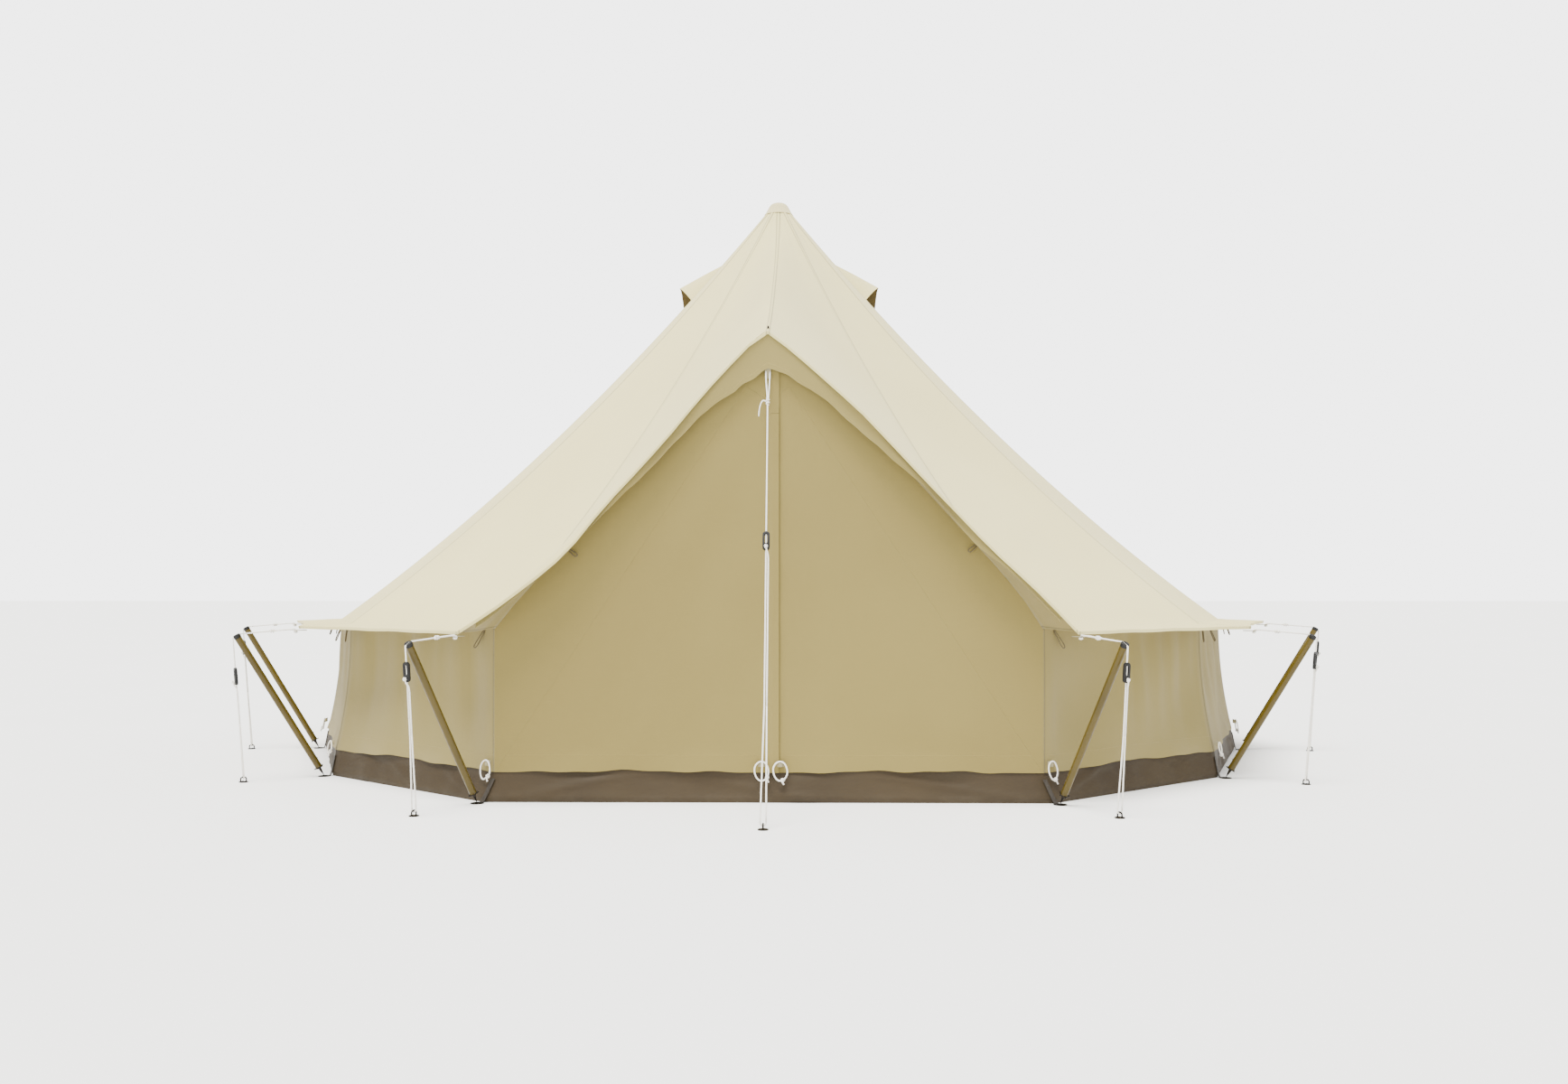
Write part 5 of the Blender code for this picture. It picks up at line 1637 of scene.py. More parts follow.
# Canvas
@dataclass
class RoofCanvas:
    """Conical roof of thirteen panels with lapped seams, its hood, hem and tabs."""

    columns: int = 16
    roof_rows: tuple[float, ...] = (0.0, 0.02, 0.045, 0.075, 0.105, 0.1377, 0.168, 0.1987, 0.225, 0.25, 0.275,
                                    *(0.30 + 0.03 * k for k in range(21)), 0.925, 0.95, 0.975, 1.0)
    flap_rows: tuple[float, ...] = (0.12, 0.25, 0.4, 0.55, 0.68, 0.8, 0.9, 0.96, 1.0)
    hem_rows: tuple[float, ...] = (0.002, 0.005, 0.009, 0.013)
    vent_rows: tuple[float, float] = (0.1377, 0.1987)
    tab_place: tuple[float, float] = (2.641, 0.6795)
    hood_tab_place: Triple = (0.0, -2.2002, 1.786)
    vent_panels: tuple[int, ...] = (3, 6, 9)
    area: float = 30.5

    def rows(self) -> list[tuple[str, float]]:
        """List the grid's rows from the crown to the hem's lower edge."""
        return ([("roof", t) for t in self.roof_rows] + [("flap", v) for v in self.flap_rows]
                + [("hem", v) for v in self.hem_rows])

    def spot(self, u: float, v: float) -> tuple[str, float, int, float]:
        """Kind and value of the row, panel, and share across the panel, at (u, v) of the grid."""
        rows = self.rows()
        return *rows[round(v * (len(rows) - 1))], *panel_at(u, PLAN.panels, self.columns)

    def is_front(self, i: int) -> bool:
        """Whether a panel is one of the two that meet in the hood."""
        return i in (0, PLAN.panels - 1)

    def relief(self, i: int, s: float, t: float) -> float:
        """Height of the cloth's slack above its ideal surface, in metres.

        Args:
            i: Corner or panel number.
            s: Share across the panel.
            t: Share of the way down the roof.

        Returns:
            The height.
        """
        middle = 4 * s * (1 - s)
        drag = 0.0022 * math.sin(2 * math.pi * (2.5 * s + 0.37 * i)) * smooth((t - 0.45) / 0.5)
        long_wave = 0.0016 * math.sin(2 * math.pi * (1.7 * t + 0.61 * i)) * middle
        crown = 0.0012 * math.sin(2 * math.pi * 3 * s) * smooth((0.22 - t) / 0.2)
        return (drag + long_wave) * middle + crown * middle

    def surface(self, u: float, v: float) -> Vector:
        """Point of the roof's outer face.

        Args:
            u: Share of the way across.
            v: Share of the way down.

        Returns:
            The point.
        """
        kind, value, i, s = self.spot(u, v)
        outwards = PLAN.corner(i + s, 1.0, 0.0)
        if kind == "roof":
            point = PLAN.roof_point(i, s, value)
            lift = self.relief(i, s, value)
            if self.is_front(i):
                across = PLAN.wall_line_corner(1).x * (s if i == 0 else s - 1)
                point.z += PLAN.hood_rise(across) * value - PLAN.crest_drop(i, s, value)
            return point + lift * (outwards * 0.6 + Vector((0, 0, 0.8)))
        share = value if kind == "flap" else 1.0
        point = PLAN.flap_point(i, s, share)
        wave = 0.0014 * math.sin(2 * math.pi * (3.5 * s + 0.29 * i)) * 4 * s * (1 - s) * share
        point.z += PLAN.hood_lift(i, s, share) + wave
        if kind == "hem":
            point.z -= value
            point -= outwards * (0.003 * smooth((value - 0.005) / 0.008))
        return point

    def seam_distance(self, u: float, v: float) -> float:
        """Distance from the nearest seam between panels.

        Args:
            u: Share of the way across.
            v: Share of the way down.

        Returns:
            The distance.
        """
        kind, value, i, s = self.spot(u, v)
        if kind == "roof":
            width = (PLAN.seam_point(i, value) - PLAN.seam_point(i + 1, value)).length
        else:
            width = (PLAN.eave_corner(i) - PLAN.eave_corner(i + 1)).length
        return width * min(s, 1 - s)

    def hem_distance(self, u: float, v: float) -> float:
        """Distance from the stitches above the eave's hem.

        Args:
            u: Share of the way across.
            v: Share of the way down.

        Returns:
            The distance.
        """
        kind, value, i, s = self.spot(u, v)
        if kind == "roof":
            return FAR
        depth = (PLAN.flap_point(i, s, 0.0) - PLAN.flap_point(i, s, 1.0)).length
        seam = PLAN.seam_share(i, s)
        return depth * (value - seam) if kind == "flap" else depth * (1 - seam) + value

    def build_cloth(self) -> None:
        """Lay the roof, open its vents and give it its thickness."""
        roof = sheet_grid("roof_sheet", PLAN.panels * self.columns, len(self.rows()) - 1, self.surface,
                          Edge.RING, self.seam_distance, self.hem_distance)
        line_up(roof, Vector((0, 0, 0.4)))
        low, high = (PLAN.roof_point(self.vent_panels[0], 0.5, row) for row in self.vent_rows)

        def in_vent(face: Face) -> bool:
            """Whether a face lies in one of the vent openings.

            Args:
                face: Face to test.

            Returns:
                True in an opening.
            """
            if not high.z - 0.06 < face.center.z < low.z + 0.06:
                return False
            for panel in self.vent_panels:
                local = PLAN.frame_at(panel + 0.5).inverted() @ face.center
                if 0.36 < local.x < 0.50 and abs(local.y) < 0.062:
                    return True
            return False

        pick_faces(roof, in_vent)
        edit(roof, "FACE", lambda: bpy.ops.mesh.delete(type="FACE"))
        thicken(roof, PLAN.cloth, 1)
        soften(roof, 50)
        # The roof's inner face uses the darker wall canvas: painted shade for the hood's underside.
        settle(roof, ROOF, "roof_canvas", Body.TENT, SHADED_CANVAS)
        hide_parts("roof_canvas")

    def build_tabs(self) -> None:
        """Sew the webbing tabs with their eyelets under the eave's corners."""
        tab = block("eave_tab_pattern", (0.060, 0.024, 0.003), (-0.002, 0, 0))
        pick_uprights(tab, 0.001)
        edit(tab, "EDGE", lambda: bpy.ops.mesh.bevel(offset=0.0118, segments=6))
        cut(tab, cylinder("tab_hole_tool", 20, 0.0045, 0.02, (0.018, 0, 0)))
        modify(tab, "BEVEL", width=0.0006, segments=2, limit_method="ANGLE")
        soften(tab)
        deselect()
        bpy.ops.mesh.primitive_torus_add(major_radius=0.0062, minor_radius=0.0016, major_segments=28,
                                         minor_segments=8, location=(0.018, 0, 0))
        eyelet = claim("eyelet_pattern")
        for vert in eyelet.data.vertices:
            vert.co.z *= 1.35
        soften(eyelet)
        for i in range(1, PLAN.panels):
            move = PLAN.frame_at(i) @ Matrix.Translation((self.tab_place[0], 0, self.tab_place[1]))
            for pattern, word, finish in ((tab, "tab", TAPE), (eyelet, "eyelet", STEEL)):
                piece = duplicate(pattern, f"eave_{word}_{i:02d}", move)
                settle(piece, finish, "roof_canvas", Body.TENT)
        discard(tab, eyelet)
        door = block("hood_tab", (0.024, 0.003, 0.128), self.hood_tab_place)
        modify(door, "BEVEL", width=0.001, segments=2)
        soften(door)
        settle(door, TAPE, "roof_canvas", Body.TENT)

    def build(self) -> None:
        """Make the roof."""
        self.build_cloth()
        self.build_tabs()
        log.info("roof: cloth, 12 tabs with eyelets, hood tab")


@dataclass
class CrownCap:
    """Cap over the crown: a turned shell of thick canvas with a stitched band."""

    profile: Rows = ((0.0, 3.0598), (0.012, 3.0592), (0.023, 3.0574),
                                                (0.033, 3.0542), (0.042, 3.0494), (0.049, 3.0430),
                                                (0.0545, 3.0350), (0.0595, 3.0255), (0.0650, 3.0150),
                                                (0.0710, 3.0040), (0.0765, 2.9955), (0.0810, 2.9885))

    def surface(self, u: float, v: float) -> Vector:
        """Point of the cap's outer face.

        Args:
            u: Share of the way across.
            v: Share of the way down.

        Returns:
            The point.
        """
        place = v * (len(self.profile) - 1)
        k = min(int(place), len(self.profile) - 2)
        radius = lerp(self.profile[k][0], self.profile[k + 1][0], place - k)
        height = lerp(self.profile[k][1], self.profile[k + 1][1], place - k)
        turn = 2 * math.pi * u
        droop = smooth((v - 0.55) / 0.45)
        radius *= 1 + 0.008 * droop * math.sin(turn * PLAN.panels)
        return Vector((radius * math.sin(turn), -radius * math.cos(turn), height))

    def build(self) -> None:
        """Lay the cap's shell."""
        cap = sheet_grid("crown_cap_shell", 104, 30, self.surface, Edge.RING,
                         hem=lambda u, v: 0.09 * (v - 0.80))
        line_up(cap, Vector((0, 0, 2.95)))
        thicken(cap, 0.0026)
        soften(cap, 60)
        settle(cap, CAP, "apex_cap", Body.TENT)
        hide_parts("apex_cap")
        log.info("crown cap")


@dataclass
class VentHoods:
    """Arched hoods over the three roof vents, each with a stitched rim and an insect net below."""

    panels: tuple[tuple[int, str], ...] = ((3, "right"), (6, "rear"), (9, "left"))
    start: float = 0.275
    reach: float = 0.572
    half: float = 0.108
    rise: float = 0.205
    setback: float = 0.050
    near_side: dict[str, int] = field(default_factory=lambda: {"right": -1, "rear": 0, "left": 1})

    def hood_point(self, panel: int, name: str, u: float, v: float) -> Vector:
        """Point of a hood's outer face, in the frame of its panel's middle.

        Args:
            panel: Panel number.
            name: Its name.
            u: Share of the way across.
            v: Share of the way down.

        Returns:
            The point.
        """
        share = lerp(0.04, 1.0, v)
        across = lerp(-1.0, 1.0, u)
        radius = lerp(self.start, self.reach, share)
        turned = 1 + 0.8 * self.near_side[name] * math.copysign(1.0, across)
        x = radius - self.setback * turned * abs(across) ** 2.0 * share
        y = self.half * share * across
        rise = self.rise * share * (1 - abs(across) ** 2.2)
        dent = 0.006 * math.sin(math.pi * 3 * u) * math.sin(math.pi * v) * (1 - across * across)
        return Vector((x, y, PLAN.roof_height(panel, x, y) + rise + 0.0035 - dent))

    def net_point(self, panel: int, u: float, v: float) -> Vector:
        """Point of the net in the roof's opening."""
        x = lerp(0.345, 0.515, v)
        y = lerp(-0.075, 0.075, u)
        return Vector((x, y, PLAN.roof_height(panel, x, y) - 0.0045))

    def build(self) -> None:
        """Make the three hoods and nets."""
        for panel, name in self.panels:
            turn = PLAN.frame_at(panel + 0.5)
            hood = sheet_grid(f"vent_{name}_hood", 32, 16,
                              lambda u, v, p=panel, n=name: turn @ self.hood_point(p, n, u, v),
                              hem=lambda u, v: 0.25 * (0.93 - v))
            line_up(hood, turn @ Vector((0.42, 0, 2.3)))
            thicken(hood, PLAN.cloth, 1)
            soften(hood, 50)
            settle(hood, ROOF, f"vent_hood_{name}", Body.TENT, LINING)
            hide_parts(f"vent_hood_{name}")
            net = sheet_grid(f"vent_{name}_net", 12, 10,
                             lambda u, v, p=panel: turn @ self.net_point(p, u, v))
            line_up(net, Vector((0, 0, 1.5)))
            thicken(net, 0.0008)
            settle(net, NET, f"vent_hood_{name}", Body.TENT)
        log.info("vents: 3 hoods and nets")


@dataclass
class WallCanvas:
    """Hanging walls between the corners, and the fixed canvas over the doorway."""

    columns: int = 30
    rows: int = 24
    butt: float = 0.0003
    fold_depth: float = 0.023
    panel_width: float = 1.17
    hem_line: float = 0.19

    def folds(self, i: int, s: float, share: float) -> float:
        """How far the hanging folds of panel i stand out.

        Args:
            i: Corner or panel number.
            s: Share across the panel.
            share: Share of the way out or down.

        Returns:
            The distance.
        """
        gather = {1: 0.9, 2: 0.8, 10: 0.6, 11: 0.7}.get(i, 0.7)
        wave = ripple((0.35, 4.6, 0.07 * i), (0.22, 7.3, 0.23 * i), (0.12, 12.0, 0.41 * i), at=s)
        if i == 1:
            wave = ripple((0.34, 9.0, 0.1), (0.18, 14.0, 0.4), at=s) * smooth((s - 0.3) / 0.25)
        fade = smooth((1.05 - share) / 0.8) * smooth(share / 0.15 + 0.25)
        lean = s + 0.45 * share
        sag = 0.75 * math.sin(2 * math.pi * (1.3 * lean + 0.21 * i)) * math.sin(math.pi * share)
        door_side = self.panel_width * (1 - s if i == 11 else s if i == 1 else 1.0)
        pleat = 0.007 * math.exp(-((door_side - 0.050 + 0.02 * share) / 0.013) ** 2) * smooth(share * 4)
        flare = 0.007 * smooth((share - 0.84) / 0.16) * (1 + math.sin(2 * math.pi * (2.6 * s + 0.31 * i)))
        edge = smooth(4 * s * (1 - s) * 2.2)
        return (self.fold_depth * gather * (wave * fade + sag) + flare) * edge + pleat

    def surface(self, u: float, v: float) -> Vector:
        """Point of the wall ring's outer face.

        Args:
            u: Share of the way across.
            v: Share of the way down.

        Returns:
            The point.
        """
        k, s = panel_at(u, PLAN.panels - 2, self.columns)
        i = 1 + k
        point = PLAN.wall_corner(i, v).lerp(PLAN.wall_corner(i + 1, v), s)
        outwards = Vector((point.x, point.y, 0)).normalized()
        slack = 0.010 * math.sin(math.pi * s) ** 2
        wave = ripple((0.0035, 2.3, 0.3 * i), (0.002, 5.7, 0.1 * i), at=s) * smooth(8 * s * (1 - s))
        lift = (slack + wave) * smooth((v - 0.8) / 0.2)
        return point + outwards * self.folds(i, s, v) + Vector((0, 0, lift))

    def seam_distance(self, u: float, v: float) -> float:
        """Distance from the nearest wall seam."""
        s = (u * (PLAN.panels - 2)) % 1.0
        return self.panel_width * min(s, 1 - s)

    def hem_distance(self, u: float, v: float) -> float:
        """Distance from the stitches above the wall's hem."""
        return lerp(PLAN.wall_line, PLAN.hem_height, v) - self.hem_line

    def arch_point(self, u: float, v: float) -> Vector:
        """Point of the fixed canvas over the doorway.

        Args:
            u: Share of the way across.
            v: Share of the way down.

        Returns:
            The point.
        """
        x = lerp(-PLAN.door_half, PLAN.door_half, u)
        top = PLAN.arch_top(x)
        foot = PLAN.leaf_foot_x()
        if abs(x) < foot:
            edge = PLAN.leaf_top(-1, x) if x < 0.045 else PLAN.leaf_top(1, x)
            low = edge + self.butt
        else:
            low = PLAN.arch_edge(x)
        return Vector((x, -PLAN.door_plane, lerp(top, min(low, top - 1e-4), v)))

    def build(self) -> None:
        """Lay the ring and the arch."""
        walls = sheet_grid("wall_sheet", (PLAN.panels - 2) * self.columns, self.rows, self.surface,
                           seam=self.seam_distance, hem=self.hem_distance)
        line_up(walls, Vector((0, 0, 0.4)))
        thicken(walls, PLAN.cloth)
        soften(walls, 60)
        # The walls use the darker copy of the canvas: painted shade.
        settle(walls, SHADED_CANVAS, "wall_canvas", Body.TENT)
        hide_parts("wall_canvas")
        arch = sheet_grid("door_arch_sheet", 248, 8, self.arch_point)
        line_up(arch, Vector((0, 0, 1.0)))
        thicken(arch, PLAN.cloth)
        soften(arch, 60)
        settle(arch, SHADED_CANVAS, "wall_canvas", Body.TENT)
        log.info("walls: ring and door arch")


@dataclass
class DoorLeaves:
    """The two canvas leaves of the door, with their sill hems, the storm flap over the zip, and the strip
    above it.
    """

    columns: int = 40
    rows: int = 44
    gap: float = 0.002
    butt: float = 0.0003
    split: float = 0.045
    zip_width: float = 0.010
    fold_depth: float = 0.011
    hem_line: float = 0.19
    flap_width: float = 0.053

    def meeting(self, side: int) -> float:
        """Where a leaf ends beside the zip."""
        return self.split - self.zip_width - 0.0006 if side < 0 else self.split + self.gap / 2

    def leaf_point(self, side: int, u: float, v: float) -> Vector:
        """Point of a leaf's outer face, from its slanting hinge line at u = 0 to the zip at u = 1.

        Args:
            side: -1 for left, 1 for right.
            u: Share of the way across.
            v: Share of the way down.

        Returns:
            The point.
        """
        slope = (PLAN.door_peak - PLAN.hem_height) / PLAN.door_half
        outer_z = lerp(PLAN.leaf_top_z - self.butt, PLAN.hem_height, v)
        outer_x = side * ((PLAN.door_peak - outer_z) / slope - self.butt)
        inner_top = PLAN.leaf_top(side, self.meeting(side)) - self.butt
        inner_z = lerp(inner_top, PLAN.hem_height, v)
        x = lerp(outer_x, self.meeting(side), u)
        z = lerp(outer_z, inner_z, u)
        swell = smooth(4 * u * (1 - u)) * smooth(3 * v * (1 - v) + 0.1)
        drag = 0.55 + 0.45 * math.sin(2 * math.pi * (1.1 * u + 0.8 * v + 0.2 * side))
        creases = 0.30 * math.sin(2 * math.pi * (3.1 * u - 1.4 * v + side * 0.13)) * smooth((v - 0.3) / 0.5)
        fine = 0.10 * math.sin(2 * math.pi * (7.0 * u + 1.1 * v)) * smooth((v - 0.6) / 0.3)
        slack = self.fold_depth * swell * (drag + creases + fine)
        wave = ripple((0.003, 3.1, 0.2 * side), (0.002, 6.3, 0.4), at=u) * smooth(5 * u * (1 - u))
        foot = smooth((v - 0.93) / 0.07)
        lift = (0.007 * math.sin(math.pi * u) ** 2 + wave) * foot
        flare = 0.006 * foot * (1 + math.sin(2 * math.pi * (2.1 * u + 0.3 * side))) * smooth(5 * u * (1 - u))
        return Vector((x, -PLAN.door_plane - slack - flare - 0.0001, z + lift))

    def build_leaf(self, side: int) -> None:
        """Lay one leaf.

        Args:
            side: -1 for left, 1 for right.
        """
        name = "left" if side < 0 else "right"
        body = Body.LEFT_LEAF if side < 0 else Body.RIGHT_LEAF
        leaf = sheet_grid(f"door_{name}_sheet", self.columns, self.rows,
                          lambda u, v: self.leaf_point(side, u, v),
                          hem=lambda u, v: self.leaf_point(side, u, v).z - self.hem_line)
        line_up(leaf, Vector((0, 0, 1.0)))
        thicken(leaf, PLAN.cloth)
        soften(leaf, 60)
        # The leaves use the darker copy of the canvas: painted shade.
        settle(leaf, SHADED_CANVAS, f"door_leaf_{name}", body)
        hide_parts(f"door_leaf_{name}")

    def flap_top(self) -> float:
        """Height of the storm flap's upper end."""
        return PLAN.leaf_top(-1, self.split) - 2 * self.gap - 0.02

    def flap_point(self, u: float, v: float) -> Vector:
        """Point of the storm flap's face: sewn flat at its left edge, standing off the zip at its right.

        Args:
            u: Share of the way across.
            v: Share of the way down.

        Returns:
            The point.
        """
        x = self.split - self.flap_width * (1 - u)
        stand = 0.0024 + 0.0058 * smooth((u - 0.2) / 0.3)
        wave = 0.0009 * math.sin(2 * math.pi * 5 * v) * smooth((u - 0.4) / 0.5)
        z = lerp(self.flap_top(), PLAN.hem_height, v)
        return Vector((x, -PLAN.door_plane - 0.0003 - stand - wave, z))

    def build_flap(self) -> None:
        """Lay the storm flap over the zip."""
        flap = sheet_grid("storm_flap_sheet", 14, 60, self.flap_point,
                          hem=lambda u, v: self.flap_width * min(abs(u - 0.14), abs(u - 0.9)))
        line_up(flap, Vector((0, 0, 1.0)))
        thicken(flap, 0.0018)
        soften(flap, 60)
        settle(flap, SHADED_CANVAS, "storm_flap", Body.LEFT_LEAF)
        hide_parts("storm_flap")

    def build_upper_flap(self) -> None:
        """Carry the flap's line on over the fixed canvas, up to the valance."""
        low, high = self.flap_top() + 0.0012, 1.815

        def place(u: float, v: float) -> Vector:
            """Point of the upper strip's face."""
            point = self.flap_point(u, 0.5)
            return Vector((point.x, point.y, lerp(high, low, v)))

        strip = sheet_grid("door_upper_strip", 14, 12, place,
                           hem=lambda u, v: self.flap_width * min(abs(u - 0.14), abs(u - 0.9)))
        line_up(strip, Vector((0, 0, 1.0)))
        thicken(strip, 0.0018)
        soften(strip, 60)
        settle(strip, SHADED_CANVAS, "wall_canvas", Body.TENT)

    def build(self) -> None:
        """Make both leaves and what closes them."""
        self.build_leaf(-1)
        self.build_leaf(1)
        self.build_flap()
        self.build_upper_flap()
        log.info("door: 2 leaves, the storm flap and the strip above it")


@dataclass
class HoodValance:
    """Valance that hangs from the hood's stitched line over the doorway."""

    left_line: Rows = (
        (0.0, 1.762), (0.020, 1.752), (0.055, 1.721), (0.092, 1.704), (0.112, 1.688), (0.130, 1.668),
        (0.224, 1.607), (0.271, 1.570), (0.346, 1.486), (0.411, 1.420), (0.472, 1.355), (0.541, 1.284),
        (0.658, 1.172), (0.738, 1.092), (0.822, 1.000), (0.902, 0.937), (0.972, 0.876), (1.066, 0.792),
        (1.3, 0.60))
    right_line: Rows = (
        (0.0, 1.762), (0.020, 1.757), (0.078, 1.735), (0.224, 1.638), (0.340, 1.534), (0.388, 1.489),
        (0.498, 1.391), (0.608, 1.296), (0.699, 1.205), (0.760, 1.130), (0.831, 1.041), (0.953, 0.950),
        (1.074, 0.834), (1.159, 0.761), (1.3, 0.62))
    seat: float = 0.0049
    least: float = 0.024
    columns: int = 190
    rows: int = 12

    def top_point(self, side: int, share: float) -> Vector:
        """Point on the hood's stitched line, from its tip at 0 to a corner at 1.

        Args:
            side: -1 for left, 1 for right.
            share: Share of the way out or down.

        Returns:
            The point.
        """
        near = min(math.floor(share * 4), 3) / 4
        far = near + 0.25
        ends = [PLAN.flap_point(0, s, PLAN.seam_share(0, s)) for s in (near, far)]
        point = ends[0].lerp(ends[1], (share - near) * 4)
        x = side * point.x
        drape = PLAN.seam_share(0, share) ** 2
        bow = lerp(PLAN.hood_rise(x), PLAN.hood_edge(x), drape) - PLAN.crest_drop(0, share, 1.0)
        return Vector((x, point.y, point.z + bow - self.seat))

    def surface(self, u: float, v: float) -> Vector:
        """Point of the valance's outer face.

        Args:
            u: Share of the way across.
            v: Share of the way down.

        Returns:
            The point.
        """
        across = lerp(-0.95, 0.95, u)
        share = abs(across)
        top = self.top_point(-1 if across < 0 else 1, share)
        low = table(self.left_line if across < 0 else self.right_line, abs(top.x))
        low += ripple((0.0020, 6.0, 0.1), (0.0012, 13.0, 0.4), at=across) * smooth(share / 0.08)
        drop = max(top.z - low, self.least)
        belly = 0.0036 * math.sin(2 * math.pi * (3.2 * across + 0.3)) * math.sin(math.pi * v)
        return top + Vector((0, belly * smooth(share / 0.1) - 0.004 * v * v, -drop * v))

    def build(self) -> None:
        """Lay the valance."""
        valance = sheet_grid("valance_sheet", self.columns, self.rows, self.surface,
                             hem=lambda u, v: 0.08 * (0.86 - v))
        line_up(valance, Vector((0, 0, 1.0)))
        thicken(valance, PLAN.cloth)
        soften(valance, 60)
        # The valance uses the darker copy of the canvas: painted shade under the hood.
        settle(valance, SHADED_VALANCE, "hood_valance", Body.TENT)
        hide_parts("hood_valance")
        log.info("valance")


@dataclass
class Groundsheet:
    """Bathtub groundsheet with creased upstand, and the straps and deck plates at its corners."""

    thickness: float = 0.002
    columns: int = 40
    radii: tuple[float, ...] = (0.97, 0.90, 0.78, 0.62, 0.42, 0.2, 0.0)
    heights: tuple[float, ...] = (0.15, 0.13, *(0.112 - 0.008 * k for k in range(14)), 0.0)
    area: float = 20.9

    def surface(self, u: float, v: float) -> Vector:
        """Point of the sheet's outer face, from the upstand's edge to the middle of the floor.

        Args:
            u: Share of the way across.
            v: Share of the way down.

        Returns:
            The point.
        """
        count = PLAN.panels - 1
        k, s = panel_at(u, count, self.columns)
        a, b = 1 + k, 1 + (k + 1) % count
        row = round(v * (len(self.heights) + len(self.radii) - 1))
        if row < len(self.heights):
            height = self.heights[row]
            point = PLAN.upstand(a, height).lerp(PLAN.upstand(b, height), s)
            free = smooth(height / 0.03) * smooth((0.113 - height) / 0.03 + 0.15) if height < 0.113 else 0.0
            slack = ripple((0.5, 2.3, 0.17 * k), (0.3, 5.1, 0.31 * k), (0.2, 9.0, 0.11 * k), at=s)
            outwards = Vector((point.x, point.y, 0)).normalized()
            fold = (0.009 * (slack - 0.35) + self.crease(k, s, height)) * free * smooth(8 * s * (1 - s))
            return point + outwards * (fold - 0.010 * (1 - smooth(height / 0.02)))
        share = self.radii[row - len(self.heights)]
        point = PLAN.upstand(a, 0.0).lerp(PLAN.upstand(b, 0.0), s) * share
        return Vector((point.x, point.y, 0.0))

    def crease(self, k: int, s: float, height: float) -> float:
        """Height of the slanting creases in a side of the upstand.

        Args:
            k: Number of the side.
            s: Share across the panel.
            height: Height above the deck.

        Returns:
            The height.
        """
        total = 0.0
        for start, end, high in ((0.02, 0.30, 0.010), (0.55, 0.40, 0.006), (0.93, 0.74, 0.007)):
            start, end = start + 0.013 * (k % 3), end - 0.02 * (k % 4)
            ridge = 0.012 + 0.105 * (s - start) / (end - start)
            total += high * math.exp(-((height - ridge) / 0.011) ** 2)
        return total

    def build_sheet(self) -> None:
        """Lay the sheet."""
        rows = len(self.heights) + len(self.radii) - 1
        sheet = sheet_grid("groundsheet_tub", (PLAN.panels - 1) * self.columns, rows, self.surface, Edge.RING)
        line_up(sheet, Vector((0, 0, 0.6)))
        thicken(sheet, self.thickness)
        soften(sheet, 50)
        settle(sheet, GROUNDCLOTH, "groundsheet", Body.TENT)
        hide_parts("groundsheet")

    def build_feet(self) -> None:
        """Make one deck plate and one strap, and copy them to each corner."""
        plate = cylinder("foot_plate_pattern", 40, 0.0275, 0.003, (0, 0, 0.0015))
        pick_faces(plate, lambda face: face.normal.z > 0.9)
        edit(plate, "FACE", lambda: bpy.ops.mesh.inset(thickness=0.0155),
             lambda: bpy.ops.mesh.extrude_region_move(TRANSFORM_OT_translate={"value": (0, 0, 0.002)}),
             lambda: bpy.ops.mesh.inset(thickness=0.003),
             lambda: bpy.ops.mesh.extrude_region_move(TRANSFORM_OT_translate={"value": (0, 0, -0.002)}))
        modify(plate, "BEVEL", width=0.0005, segments=2, limit_method="ANGLE")
        soften(plate)
        for i in range(1, PLAN.panels):
            move = PLAN.frame_at(i) @ Matrix.Translation((GuyLine.foot_radius, 0, 0))
            piece = duplicate(plate, f"foot_plate_{i:02d}", move)
            settle(piece, DARK_STEEL, "groundsheet", Body.TENT)
            strap = self.strap(i)
            settle(strap, DARK_TAPE, "groundsheet", Body.TENT)
        discard(plate)

    def strap(self, i: int) -> Piece:
        """Lay the strap from the upstand's corner down to a deck plate.

        Args:
            i: Corner number.

        Returns:
            The strap.
        """
        outwards = PLAN.corner(i, 1.0, 0.0)
        sideways = Vector((-outwards.y, outwards.x, 0))
        line = curve_through([*(PLAN.upstand(i, height) + outwards * 0.002 for height in (0.095, 0.06, 0.03)),
                              PLAN.corner(i, 2.5035, 0.0035), PLAN.corner(i, 2.5165, 0.0036)], 5)

        def place(u: float, v: float) -> Vector:
            """Point of the strap's outer face."""
            spot = v * (len(line) - 1)
            k = min(int(spot), len(line) - 2)
            return line[k].lerp(line[k + 1], spot - k) + sideways * ((u - 0.5) * 0.020)

        strap = sheet_grid(f"foot_strap_{i:02d}", 4, 20, place)
        line_up(strap, Vector((0, 0, 0.5)))
        thicken(strap, 0.0015)
        soften(strap, 60)
        return strap

    def build(self) -> None:
        """Make the sheet and its corner fittings."""
        self.build_sheet()
        self.build_feet()
        log.info("groundsheet: tub, 12 straps, 12 deck plates")


